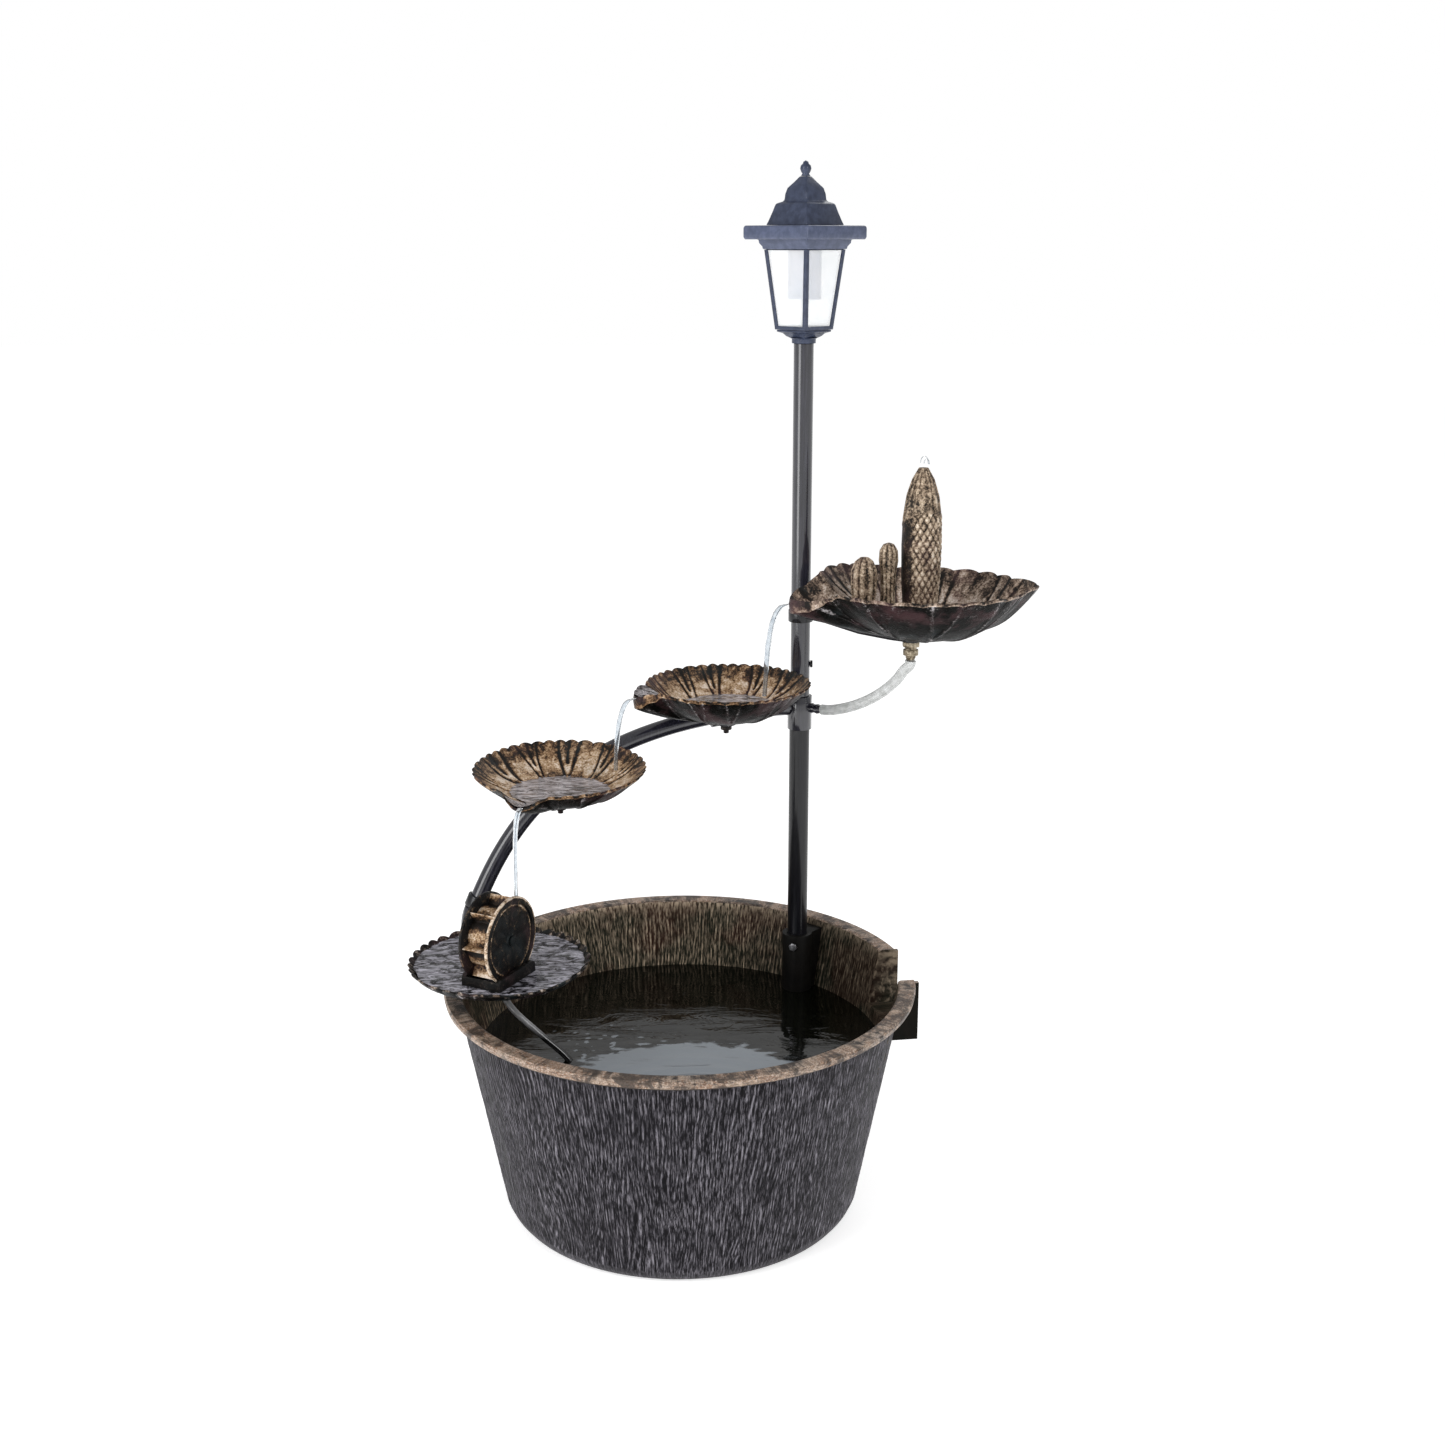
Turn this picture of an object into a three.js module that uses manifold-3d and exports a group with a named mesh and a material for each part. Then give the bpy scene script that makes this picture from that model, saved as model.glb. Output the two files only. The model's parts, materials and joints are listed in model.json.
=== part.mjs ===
// Tiered garden fountain: wood-look tub, lantern post, curved riser arm, four leaf bowls and a water wheel.
// Millimetres, +Z up. The origin is the centre of the tub's base, on the ground.
// +Y points to the back of the fountain and +X to the side of the post.
import * as THREE from "three";
import { mergeVertices } from "three/addons/utils/BufferGeometryUtils.js";
import Module from "manifold-3d";

const wasm = await Module();
wasm.setup();

// ---------------------------------------------------------------- driving dimensions
const GAP = 0.3; // clearance between touching pieces
const DEG = Math.PI / 180;

const TUB = { baseR: 150, footR: 165, footZ: 14, wallTopR: 202.5, wallTopZ: 206.5, rimR: 215, rimZ: 216,
  wall: 5 };
const CHUTE = { azimuth: 8.5, halfWidth: 37, cheek: 4.5, floorZ: 162.5, floorThick: 3.5, reach: 214.2,
  topZ: 214.5 };

const POST = { x: 112.3, y: 130, lowerR: 9.6, upperR: 9.1, wall: 1.5, footZ: 146, joinLowZ: 418,
  joinHighZ: 450, topZ: 779 };
const SOCKET = { radius: 14.5, lowZ: 140, highZ: 209, webWidth: 22, boltR: 3, boltLevels: [158, 192] };

const ARM = { azimuth: 194, radius: 8, wall: 1.6, startS: 12, z: 439.5, reachS: 227, endS: 316, endZ: 263 };
ARM.endPull = 84; // length of the last control arm
ARM.endLean = 23; // degrees from plumb at the low end

const BOWLS = [
  { name: "leaf_tray_1", x: 210, y: 65, rimZ: 568.5, a: 94, b: 88, shift: 9, depth: 45, power: 2.6,
    spoutAz: 182.5, spoutOut: 27, spoutHalf: 17, spoutDrop: 14, dropHalf: [19, 34], skirt: 10, tipOut: 11,
    riseAt: -37, riseHalf: 58, rise: 9, thick: 3, lean: 0.8, tilt: 0, lobes: 16, lobe: 1.2 },
  { name: "leaf_tray_2", x: 42, y: 70, rimZ: 476.5, a: 74, b: 73.5, shift: 2, depth: 32, power: 2.6,
    spoutAz: 197, spoutOut: 16, spoutHalf: 19, spoutDrop: 5, dropHalf: [20, 20], skirt: 9, tipOut: 0,
    riseAt: 0, riseHalf: 1, rise: 0, thick: 2.6, lean: 0, tilt: 0, lobes: 20, lobe: 1.0 },
  { name: "leaf_tray_3", x: -106.6, y: 3, rimZ: 415.3, a: 75, b: 75.5, shift: 0, depth: 27, power: 2.6,
    spoutAz: 250, spoutOut: 9, spoutHalf: 16, spoutDrop: 9, dropHalf: [18, 18], skirt: 0, tipOut: 0,
    riseAt: 0, riseHalf: 1, rise: 0, thick: 2.6, lean: 0, tilt: 3, lobes: 20, lobe: 1.0 },
  { name: "leaf_tray_4", x: -160.4, y: -38.5, rimZ: 249, a: 81.5, b: 81, shift: 0, depth: 8, power: 12,
    spoutAz: 300, spoutOut: 0, spoutHalf: 20, spoutDrop: 1.5, dropHalf: [30, 30], skirt: 0, tipOut: 0,
    riseAt: 0, riseHalf: 1, rise: 0, thick: 2.6, lean: 0, tilt: 0, lobes: 20, lobe: 1.0 },
];
const BOLT = { radius: 2.5, hole: 3.2, headR: 5.5, headH: 3, nutR: 5.2, nutH: 4.5, tail: 3.5 };
const STRAP = { width: 14, thick: 3, ringWidth: 11, ringWall: 2.2, eyeR: 9 };

const COB = { offset: 7 }; // the cob stands a little off the inlet

const WHEEL = { x: -156.6, y: -74, z: 284.6, azimuth: -27, radius: 38.5, width: 29, flange: 2.6,
  drumR: 27, buckets: 7, phase: 37 };
const CRADLE = { halfLength: 28, height: 15, chamfer: 3, cheekThick: 4, cheekFoot: 25, cheekTop: 9 };

const PUMP = { x: -86, y: -30, lowZ: 13, highZ: 58, halfX: 22, halfY: 26, outletY: -40, outletZ: 84 };

// Lantern half-diagonals and levels: the body is square in plan, with one corner to the front.
const LAMP = { cageLowZ: 791.3, cageHighZ: 861.3, cageLowD: 26.4, cageHighD: 36.6, lipZ: 866, lipD: 34.6,
  wall: 1.8 };
const PANE = { thick: 1.2, lowZ: 793.8, highZ: 863, leg: 3.8 };
const EAVE = { halfDiagonal: 55.4, lowZ: 870, highZ: 882, ledgeZ: 861.6 };

const WATERWAY = 1.9; // radius of the water channel through the fittings
const HOSE = { radius: 5, sides: 10 };
const PUMP_HOSE = { radius: 3, sides: 8 };

// ---------------------------------------------------------------- materials
const finish = (color, roughness, metalness) =>
  new THREE.MeshStandardMaterial({ color, roughness, metalness });
const MAT = {
  barrel: finish(0x3a3532, 0.7, 0.1),
  post: finish(0x2b2d38, 0.35, 0.6),
  bronze: finish(0x5a4531, 0.5, 0.5),
  steel: finish(0xb9babd, 0.3, 0.9),
  clear: finish(0xc9cbc8, 0.2, 0.0),
  black: finish(0x17181a, 0.5, 0.1),
  rubber: finish(0x202020, 0.9, 0.0),
  pane: finish(0xf1f4f6, 0.4, 0.0),
  led: finish(0xfff3c4, 0.4, 0.0),
};

// ---------------------------------------------------------------- solids
const vec = (x, y, z) => new THREE.Vector3(x, y, z);

function toSolid(geometry) {
  const plain = geometry.clone();
  plain.deleteAttribute("normal");
  plain.deleteAttribute("uv");
  const merged = mergeVertices(plain, 1e-4);
  const vertProperties = Float32Array.from(merged.attributes.position.array);
  const triVerts = Uint32Array.from(merged.index.array);
  return new wasm.Manifold(new wasm.Mesh({ numProp: 3, vertProperties, triVerts }));
}

function toGeometry(solid) {
  const mesh = solid.getMesh();
  const geometry = new THREE.BufferGeometry();
  geometry.setAttribute("position", new THREE.BufferAttribute(Float32Array.from(mesh.vertProperties), 3));
  geometry.setIndex(new THREE.BufferAttribute(Uint32Array.from(mesh.triVerts), 1));
  return geometry;
}

const join = (...solids) => solids.reduce((all, next) => all.add(next));
const cut = (body, ...tools) => tools.reduce((left, tool) => left.subtract(tool), body);

function place(geometry, x, y, z, turn = 0) {
  return geometry.applyMatrix4(new THREE.Matrix4().makeRotationZ(turn).setPosition(x, y, z));
}

// A turned solid about the Z axis. The profile is a list of [radius, z], from the axis back to the axis.
function turned(profile, sides = 24) {
  const points = profile.map(([r, z]) => new THREE.Vector2(r, z));
  const geometry = new THREE.LatheGeometry(points, sides);
  geometry.rotateX(Math.PI / 2);
  const solid = toSolid(geometry);
  return solid.volume() < 0 ? toSolid(flipped(geometry)) : solid;
}

function flipped(geometry) {
  const index = geometry.index.array;
  for (let i = 0; i < index.length; i += 3) [index[i], index[i + 1]] = [index[i + 1], index[i]];
  return geometry;
}

const disc = (radius, lowZ, highZ, sides = 24) =>
  turned([[0, lowZ], [radius, lowZ], [radius, highZ], [0, highZ]], sides);

const ringSolid = (outer, inner, lowZ, highZ, sides = 24) =>
  turned([[inner, lowZ], [outer, lowZ], [outer, highZ], [inner, highZ], [inner, lowZ]], sides);

function shapeOf(points) {
  return new THREE.Shape(points.map(([x, y]) => new THREE.Vector2(x, y)));
}

// A plate: an outline in X and Y, from lowZ to highZ.
function plate(points, lowZ, highZ) {
  const geometry = new THREE.ExtrudeGeometry(shapeOf(points), { depth: highZ - lowZ, bevelEnabled: false });
  geometry.translate(0, 0, lowZ);
  return toSolid(geometry);
}

const block = (x0, x1, y0, y1, z0, z1) => plate([[x0, y0], [x1, y0], [x1, y1], [x0, y1]], z0, z1);

// An upright plate: an outline in X and Z, from y0 to y1.
function uprightPlate(points, y0, y1) {
  const geometry = new THREE.ExtrudeGeometry(shapeOf(points), { depth: y1 - y0, bevelEnabled: false });
  geometry.rotateX(Math.PI / 2);
  geometry.translate(0, y1, 0);
  return toSolid(geometry);
}

function moved(solid, x, y, z, turnDegrees = 0) {
  return solid.rotate([0, 0, turnDegrees]).translate([x, y, z]);
}

// Turns a solid built along +Z so that it runs along a direction, then puts its origin at a point.
function aimed(solid, at, direction) {
  const turn = new THREE.Quaternion().setFromUnitVectors(vec(0, 0, 1), direction.clone().normalize());
  const m = new THREE.Matrix4().compose(at, turn, vec(1, 1, 1)).elements;
  return solid.transform([...m]);
}

function circleShape(radius, sides, hole = 0) {
  const round = (r) => Array.from({ length: sides }, (_, i) => {
    const angle = (2 * Math.PI * i) / sides;
    return new THREE.Vector2(r * Math.cos(angle), r * Math.sin(angle));
  });
  const shape = new THREE.Shape(round(radius));
  if (hole > 0) shape.holes.push(new THREE.Path(round(hole)));
  return shape;
}

function tube(curve, radius, steps, sides, hole = 0) {
  const options = { steps, extrudePath: curve, bevelEnabled: false };
  return toSolid(new THREE.ExtrudeGeometry(circleShape(radius, sides, hole), options));
}

const group = new THREE.Group();
group.name = "tiered_fountain";

function addPiece(name, solid, material) {
  const mesh = new THREE.Mesh(toGeometry(solid), material);
  mesh.name = name;
  group.add(mesh);
  return solid;
}

const hexBolt = (length, radius, headR, headH) =>
  join(disc(headR, 0, headH, 6), disc(radius, -length, 0.01, 16));

// ---------------------------------------------------------------- tub
const wallSlope = (TUB.wallTopR - TUB.footR) / (TUB.wallTopZ - TUB.footZ);
const innerWallR = (z) => TUB.footR + (z - TUB.footZ) * wallSlope - TUB.wall;

function tubShell() {
  const { baseR, footR, footZ, wallTopR, wallTopZ, rimR, rimZ, wall } = TUB;
  const outside = [[0, 0], [baseR, 0], [baseR + 8, 2.5], [footR - 3, 7.5], [footR, footZ],
    [wallTopR, wallTopZ]];
  const rim = [[rimR - 4, wallTopZ + 1], [rimR - 1, wallTopZ + 3.5], [rimR, rimZ - 2], [rimR - 1, rimZ]];
  const inside = [[rimR - 15, rimZ], [innerWallR(rimZ - 1.5), rimZ - 1.5],
    [innerWallR(footZ + 1), footZ + 1]];
  const floor = [[footR - wall - 3, 8.5], [baseR - 2, wall], [0, wall]];
  return turned([...outside, ...rim, ...inside, ...floor], 64);
}

function tubHollow() {
  const top = TUB.rimZ + 60;
  return turned([[0, TUB.wall], [innerWallR(20), TUB.wall], [innerWallR(top), top], [0, top]], 64);
}

function chuteBlock(halfWidth, lowZ, highZ, reach) {
  return moved(block(innerWallR(TUB.footZ), reach, -halfWidth, halfWidth, lowZ, highZ), 0, 0, 0,
    CHUTE.azimuth);
}

const postAzimuth = Math.atan2(POST.y, POST.x) / DEG;
const postReach = Math.hypot(POST.x, POST.y);

function socketBolt(z, extra = 0) {
  const start = TUB.footR + (z - TUB.footZ) * wallSlope + 2.2;
  const outward = vec(Math.cos(postAzimuth * DEG), Math.sin(postAzimuth * DEG), 0);
  const bolt = hexBolt(start - postReach - 11, SOCKET.boltR + extra, 6, 4);
  return aimed(bolt, outward.clone().multiplyScalar(start).setZ(z), outward);
}

function buildTub() {
  const { halfWidth, cheek, floorZ, floorThick, reach, topZ } = CHUTE;
  const box = cut(chuteBlock(halfWidth + cheek, floorZ - floorThick, topZ, reach), tubHollow());
  const channel = chuteBlock(halfWidth, floorZ, TUB.rimZ + 20, reach + 20);
  const holes = SOCKET.boltLevels.map((z) => socketBolt(z, GAP));
  addPiece("barrel_tub", cut(join(tubShell(), box), channel, ...holes), MAT.barrel);
}

function buildSocket() {
  const { radius, lowZ, highZ, webWidth, boltLevels } = SOCKET;
  const wallLimit = turned(
    [[0, lowZ - 1], [innerWallR(lowZ - 1) - GAP, lowZ - 1], [innerWallR(highZ + 1) - GAP, highZ + 1],
    [0, highZ + 1]], 64);
  const web = moved(block(postReach, postReach + 40, -webWidth / 2, webWidth / 2, lowZ, highZ), 0, 0, 0,
    postAzimuth);
  const boss = moved(disc(radius, lowZ, highZ, 32), POST.x, POST.y, 0);
  const bore = moved(disc(POST.lowerR + GAP, POST.footZ - GAP, highZ + 1, 32), POST.x, POST.y, 0);
  const body = cut(join(boss, web).intersect(wallLimit), bore, ...boltLevels.map((z) => socketBolt(z, GAP)));
  const screwAim = vec(-0.3, -1, 0).normalize();
  const screwAt = screwAim.clone().multiplyScalar(radius + GAP).add(vec(POST.x, POST.y, 199));
  const screwHole = aimed(disc(2.3, -8, 4, 12), screwAt, screwAim);
  addPiece("post_socket", cut(body, screwHole), MAT.barrel);
  addPiece("post_foot_screw", aimed(hexBolt(4, 2, 4.2, 2.6), screwAt, screwAim), MAT.steel);
  addPiece("post_socket_bolt_lower", socketBolt(boltLevels[0]), MAT.steel);
  addPiece("post_socket_bolt_upper", socketBolt(boltLevels[1]), MAT.steel);
}

// ---------------------------------------------------------------- post and coupler
const armAim = vec(Math.cos(ARM.azimuth * DEG), Math.sin(ARM.azimuth * DEG), 0);
const feedAim = vec(BOWLS[0].x - POST.x, BOWLS[0].y - POST.y, 0).normalize();
const feedBarb = { start: 10, end: 24 };

function barbAlong(radius, start, end) {
  const crest = radius + 0.9;
  const mid = (start + end) / 2;
  return turned([[0, start], [radius, start], [crest, start + 4], [radius, mid], [crest, mid + 3],
    [radius - 0.6, end], [0, end]], 16);
}

function buildPost() {
  const { x, y, lowerR, upperR, wall, footZ, joinLowZ, joinHighZ, topZ } = POST;
  const screwZ = 481;
  const upperHole = aimed(disc(2.2, 0, 20, 12), vec(x, y, screwZ), vec(1, -0.05, 0));
  const lowerHole = aimed(disc(2.2, 0, 20, 12), vec(x, y, screwZ - 80), vec(0, 1, 0));
  const lower = moved(ringSolid(lowerR, lowerR - wall, footZ, joinLowZ - GAP, 32), x, y, 0);
  const upper = moved(ringSolid(upperR, upperR - wall, joinHighZ + GAP, topZ, 32), x, y, 0);
  addPiece("lower_post", cut(lower, lowerHole), MAT.post);
  addPiece("upper_post", cut(upper, upperHole), MAT.post);

  const sleeve = disc(11.6, joinLowZ, joinHighZ, 32);
  const spigots = join(disc(lowerR - wall - GAP, joinLowZ - 34, joinLowZ + 1),
    disc(upperR - wall - GAP, joinHighZ - 1, joinHighZ + 44));
  const armPort = aimed(disc(ARM.radius - ARM.wall - GAP, 5, ARM.startS + 12, 16), vec(0, 0, ARM.z), armAim);
  const feedPort = aimed(barbAlong(4, feedBarb.start, feedBarb.end), vec(0, 0, ARM.z), feedAim);
  const waterway = [armAim, feedAim].map((aim) => aimed(disc(WATERWAY, -0.5, 40, 12), vec(0, 0, ARM.z), aim));
  const coupler = moved(cut(join(sleeve, spigots, armPort, feedPort), ...waterway), x, y, 0);
  addPiece("post_coupler", cut(coupler, upperHole, lowerHole), MAT.post);

  const screw = hexBolt(6, 1.9, 3.6, 2.4);
  addPiece("upper_post_screw", aimed(screw, vec(x + upperR + GAP, y - 0.5, screwZ), vec(1, -0.05, 0)),
    MAT.post);
  addPiece("lower_post_screw", aimed(screw, vec(x, y + lowerR + GAP, screwZ - 80), vec(0, 1, 0)), MAT.post);
}

// ---------------------------------------------------------------- arm
function onArm(s, z) {
  return vec(POST.x + armAim.x * s, POST.y + armAim.y * s, z);
}

const lean = ARM.endLean * DEG;
const armCurve = new THREE.CubicBezierCurve3(
  onArm(ARM.startS, ARM.z),
  onArm(ARM.reachS, ARM.z),
  onArm(ARM.endS - ARM.endPull * Math.sin(lean), ARM.endZ + ARM.endPull * Math.cos(lean)),
  onArm(ARM.endS, ARM.endZ),
);

const outletAim = vec(0.42, -0.7, -0.58).normalize();
const elbowDrop = 17;

function buildArm() {
  addPiece("arm_pipe", tube(armCurve, ARM.radius, 26, 14, ARM.radius - ARM.wall), MAT.post);
  const end = armCurve.getPoint(1);
  const down = armCurve.getTangent(1);
  const corner = end.clone().addScaledVector(down, elbowDrop + GAP);
  const bend = new THREE.QuadraticBezierCurve3(
    end.clone().addScaledVector(down, GAP), corner, corner.clone().addScaledVector(outletAim, elbowDrop));
  const body = tube(bend, ARM.radius + 1.6, 7, 14);
  const spigot = aimed(disc(ARM.radius - ARM.wall - GAP, -14, 2, 16), end, down);
  const barb = aimed(barbAlong(3, -2, 13), bend.getPoint(1), outletAim);
  const bore = tube(new THREE.QuadraticBezierCurve3(
    end.clone().addScaledVector(down, -20), corner,
    corner.clone().addScaledVector(outletAim, elbowDrop + 20)), WATERWAY, 9, 8);
  addPiece("riser_elbow", cut(join(body, spigot, barb), bore), MAT.post);
  return bend.getPoint(1).addScaledVector(outletAim, 13 + GAP);
}

// ---------------------------------------------------------------- leaf bowls
// Smooth bump of height 1 at 0 that falls to 0 at the given half width, in degrees.
function bump(angle, halfWidth) {
  const away = Math.abs(((angle + 540) % 360) - 180) / halfWidth;
  return away >= 1 ? 0 : (0.5 + 0.5 * Math.cos(Math.PI * away)) ** 0.7;
}

// Distance from the hub to the rim of the leaf, at an angle from the spout's direction.
function rimReach(leaf, angle) {
  const c = Math.cos(angle * DEG);
  const s = Math.sin(angle * DEG);
  const { a, b, shift } = leaf;
  const k2 = (c / a) ** 2 + (s / b) ** 2;
  const k1 = (shift * c) / a ** 2;
  const k0 = (shift / a) ** 2 - 1;
  const oval = (-k1 + Math.sqrt(k1 * k1 - k2 * k0)) / k2;
  const spout = leaf.spoutOut * bump(angle, leaf.spoutHalf);
  const tip = leaf.tipOut * bump(angle - 180, 16);
  return oval + spout + tip + leaf.lobe * Math.cos(leaf.lobes * angle * DEG);
}

// Height of the rim over the rim plane: it dips at the spout and may lift along one side.
function rimLevel(leaf, angle) {
  const side = ((angle + 540) % 360) - 180 < 0 ? 0 : 1;
  const drop = leaf.spoutDrop * bump(angle, leaf.dropHalf[side]);
  return leaf.rise * bump(angle - leaf.riseAt, leaf.riseHalf) - drop;
}

// Height of the inner surface over the rim plane, at a fraction t of the way from the hub to the rim.
function bowlLevel(leaf, t, angle) {
  const power = leaf.power - leaf.lean * Math.cos(angle * DEG);
  return -leaf.depth + (rimLevel(leaf, angle) + leaf.depth) * t ** power;
}

function leafSolid(leaf) {
  const sides = 48;
  const rings = [0.26, 0.5, 0.7, 0.87, 1];
  const position = [];
  const index = [];
  const skins = [0, 1];
  skins.forEach((skin) => {
    position.push(0, 0, -leaf.depth - skin * leaf.thick);
    rings.forEach((t) => {
      for (let i = 0; i < sides; i++) {
        const angle = (360 * i) / sides;
        const r = t * rimReach(leaf, angle);
        const drop = skin * (leaf.thick + leaf.skirt * bump(angle, leaf.spoutHalf * 1.3) * t ** 3);
        position.push(r * Math.cos(angle * DEG), r * Math.sin(angle * DEG), bowlLevel(leaf, t, angle) - drop);
      }
    });
  });
  const skinSize = 1 + rings.length * sides;
  const at = (skin, ring, i) => skin * skinSize + 1 + ring * sides + (i % sides);
  const face = (skin, a, b, c) => (skin === 0 ? index.push(a, b, c) : index.push(a, c, b));
  for (let i = 0; i < sides; i++) {
    skins.forEach((_, skin) => {
      face(skin, skin * skinSize, at(skin, 0, i), at(skin, 0, i + 1));
      for (let ring = 1; ring < rings.length; ring++) {
        face(skin, at(skin, ring - 1, i), at(skin, ring, i), at(skin, ring, i + 1));
        face(skin, at(skin, ring - 1, i), at(skin, ring, i + 1), at(skin, ring - 1, i + 1));
      }
    });
    const last = rings.length - 1;
    index.push(at(0, last, i), at(1, last, i), at(1, last, i + 1));
    index.push(at(0, last, i), at(1, last, i + 1), at(0, last, i + 1));
  }
  const geometry = new THREE.BufferGeometry();
  geometry.setAttribute("position", new THREE.Float32BufferAttribute(position, 3));
  geometry.setIndex(index);
  return toSolid(geometry);
}

function placedLeaf(leaf) {
  const turnedLeaf = leafSolid(leaf).rotate([0, 0, leaf.spoutAz]);
  return turnedLeaf.rotate([leaf.tilt, 0, 0]).translate([leaf.x, leaf.y, leaf.rimZ]);
}

const underside = (leaf) => leaf.rimZ - leaf.depth - leaf.thick;

// ---------------------------------------------------------------- clamps, bolts and nuts
// A ring round a tube and a strap from it to an eye. The strap's line is a list of [distance, z].
function strapClamp(centre, axis, tubeR, heading, line) {
  const aim = heading.clone().normalize();
  const turn = Math.atan2(aim.y, aim.x) / DEG;
  const top = line.map(([d, z]) => [d, z]);
  const under = line.map(([d, z]) => [d, z - STRAP.thick]).reverse();
  const strap = uprightPlate([...top, ...under], -STRAP.width / 2, STRAP.width / 2);
  const [eyeD, eyeZ] = line[line.length - 1];
  const eye = moved(disc(STRAP.eyeR, eyeZ - STRAP.thick, eyeZ), eyeD, 0, 0);
  const arm = moved(join(strap, eye), centre.x, centre.y, 0, turn);
  const ring = aimed(disc(tubeR + GAP + STRAP.ringWall, -STRAP.ringWidth / 2, STRAP.ringWidth / 2),
    centre, axis);
  return cut(join(arm, ring), aimed(disc(tubeR + GAP, -60, 60), centre, axis));
}

function verticalHole(x, y, radius, z, length = 12) {
  return moved(disc(radius, z - length, z + length, 16), x, y, 0);
}

function armPointOver(leaf) {
  const s = (leaf.x - POST.x) * armAim.x + (leaf.y - POST.y) * armAim.y;
  let t = 0;
  while (t < 1 && armCurve.getPoint(t).distanceTo(onArm(0, armCurve.getPoint(t).z)) < s) t += 0.005;
  return t;
}

// Bolt through a bowl's hub and the clamp's eye, with its nut below.
function buildHubBolt(number, x, y, floorZ, eyeZ) {
  const seat = floorZ + 1.2;
  const eyeLow = eyeZ - STRAP.thick;
  const nutHigh = eyeLow - GAP;
  const bolt = hexBolt(seat - nutHigh + BOLT.nutH + BOLT.tail, BOLT.radius, BOLT.headR, BOLT.headH);
  addPiece(`leaf_bolt_${number}`, moved(bolt, x, y, seat), MAT.bronze);
  const nut = ringSolid(BOLT.nutR, BOLT.radius + GAP, nutHigh - BOLT.nutH, nutHigh, 12);
  addPiece(`leaf_nut_${number}`, moved(nut, x, y, 0), MAT.bronze);
}

function buildHubLeaf(number, ringRise) {
  const leaf = BOWLS[number - 1];
  const t = armPointOver(leaf);
  const centre = armCurve.getPoint(t);
  const heading = vec(leaf.x - centre.x, leaf.y - centre.y, 0);
  const reach = heading.length();
  const eyeZ = underside(leaf) - 1.2;
  const line = [[6, centre.z + ringRise], [16, centre.z + ringRise], [reach - 22, eyeZ], [reach, eyeZ]];
  const hole = verticalHole(leaf.x, leaf.y, BOLT.hole, eyeZ);
  addPiece(leaf.name, cut(placedLeaf(leaf), hole), MAT.bronze);
  const clamp = strapClamp(centre, armCurve.getTangent(t), ARM.radius, heading, line);
  addPiece(`leaf_clamp_${number}`, cut(clamp, hole), MAT.post);
  buildHubBolt(number, leaf.x, leaf.y, leaf.rimZ - leaf.depth, eyeZ);
}

// The top bowl hangs on a clamp round the post, whose eye the inlet nut holds under the hub.
const inlet = { radius: 4.6, hole: 5.2, nutR: 8.5, nutH: 4.5, lowZ: 500 };

function buildTopLeaf() {
  const leaf = BOWLS[0];
  const centre = vec(POST.x, POST.y, 528);
  const heading = vec(leaf.x - POST.x, leaf.y - POST.y, 0);
  const reach = heading.length();
  const eyeZ = underside(leaf) - GAP;
  const line = [[6, 530], [30, 528], [66, 522], [reach - 18, eyeZ], [reach, eyeZ]];
  const hole = verticalHole(leaf.x, leaf.y, inlet.hole, eyeZ);
  addPiece(leaf.name, cut(placedLeaf(leaf), hole), MAT.bronze);
  addPiece("leaf_clamp_1", cut(strapClamp(centre, vec(0, 0, 1), POST.upperR, heading, line), hole), MAT.post);

  const nutHigh = eyeZ - STRAP.thick - GAP;
  const nutLow = nutHigh - inlet.nutH;
  const nut = cut(disc(inlet.nutR, nutLow, nutHigh, 6),
    disc(inlet.radius + GAP, nutLow - 1, nutHigh + 1, 20));
  addPiece("inlet_nut", moved(nut, leaf.x, leaf.y, 0), MAT.bronze);
  const stem = ringSolid(inlet.radius, WATERWAY, inlet.lowZ + 2, 538, 16);
  const barb = turned([[WATERWAY, inlet.lowZ], [3.8, inlet.lowZ], [5, inlet.lowZ + 5],
    [4.2, inlet.lowZ + 6], [5.4, inlet.lowZ + 8],
    [5.4, nutLow - GAP], [WATERWAY, nutLow - GAP], [WATERWAY, inlet.lowZ]], 16);
  addPiece("inlet_barb", moved(join(stem, barb), leaf.x, leaf.y, 0), MAT.bronze);
}

// The lowest bowl hangs on a clamp whose strap comes down over its back rim.
function buildLowLeaf() {
  const leaf = BOWLS[3];
  const t = 0.972;
  const centre = armCurve.getPoint(t);
  const heading = vec(leaf.x - centre.x, leaf.y - centre.y, 0);
  const floorZ = leaf.rimZ - leaf.depth;
  const edge = heading.length() - leaf.a;
  const line = [[6, centre.z + 2], [edge - 4, centre.z - 2], [edge + 4, leaf.rimZ + 9],
    [edge + 16, floorZ + 5.2], [edge + 30, floorZ + 5.2]];
  const [eyeD, eyeZ] = line[line.length - 1];
  const at = heading.clone().normalize().multiplyScalar(eyeD).add(centre);
  const hole = verticalHole(at.x, at.y, BOLT.hole, floorZ);
  addPiece(leaf.name, cut(placedLeaf(leaf), hole), MAT.bronze);
  const clamp = strapClamp(centre, armCurve.getTangent(t), ARM.radius, heading, line);
  addPiece("leaf_clamp_4", cut(clamp, hole), MAT.post);
  buildLipBolt(at, eyeZ, underside(leaf) - 1.2);
}

function buildLipBolt(at, eyeZ, nutHigh) {
  const bolt = hexBolt(eyeZ + GAP - nutHigh + BOLT.nutH + 1.5, BOLT.radius, BOLT.headR, BOLT.headH);
  addPiece("leaf_bolt_4", moved(bolt, at.x, at.y, eyeZ + GAP), MAT.bronze);
  const nut = ringSolid(BOLT.nutR, BOLT.radius + GAP, nutHigh - BOLT.nutH, nutHigh, 12);
  addPiece("leaf_nut_4", moved(nut, at.x, at.y, 0), MAT.bronze);
}

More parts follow.
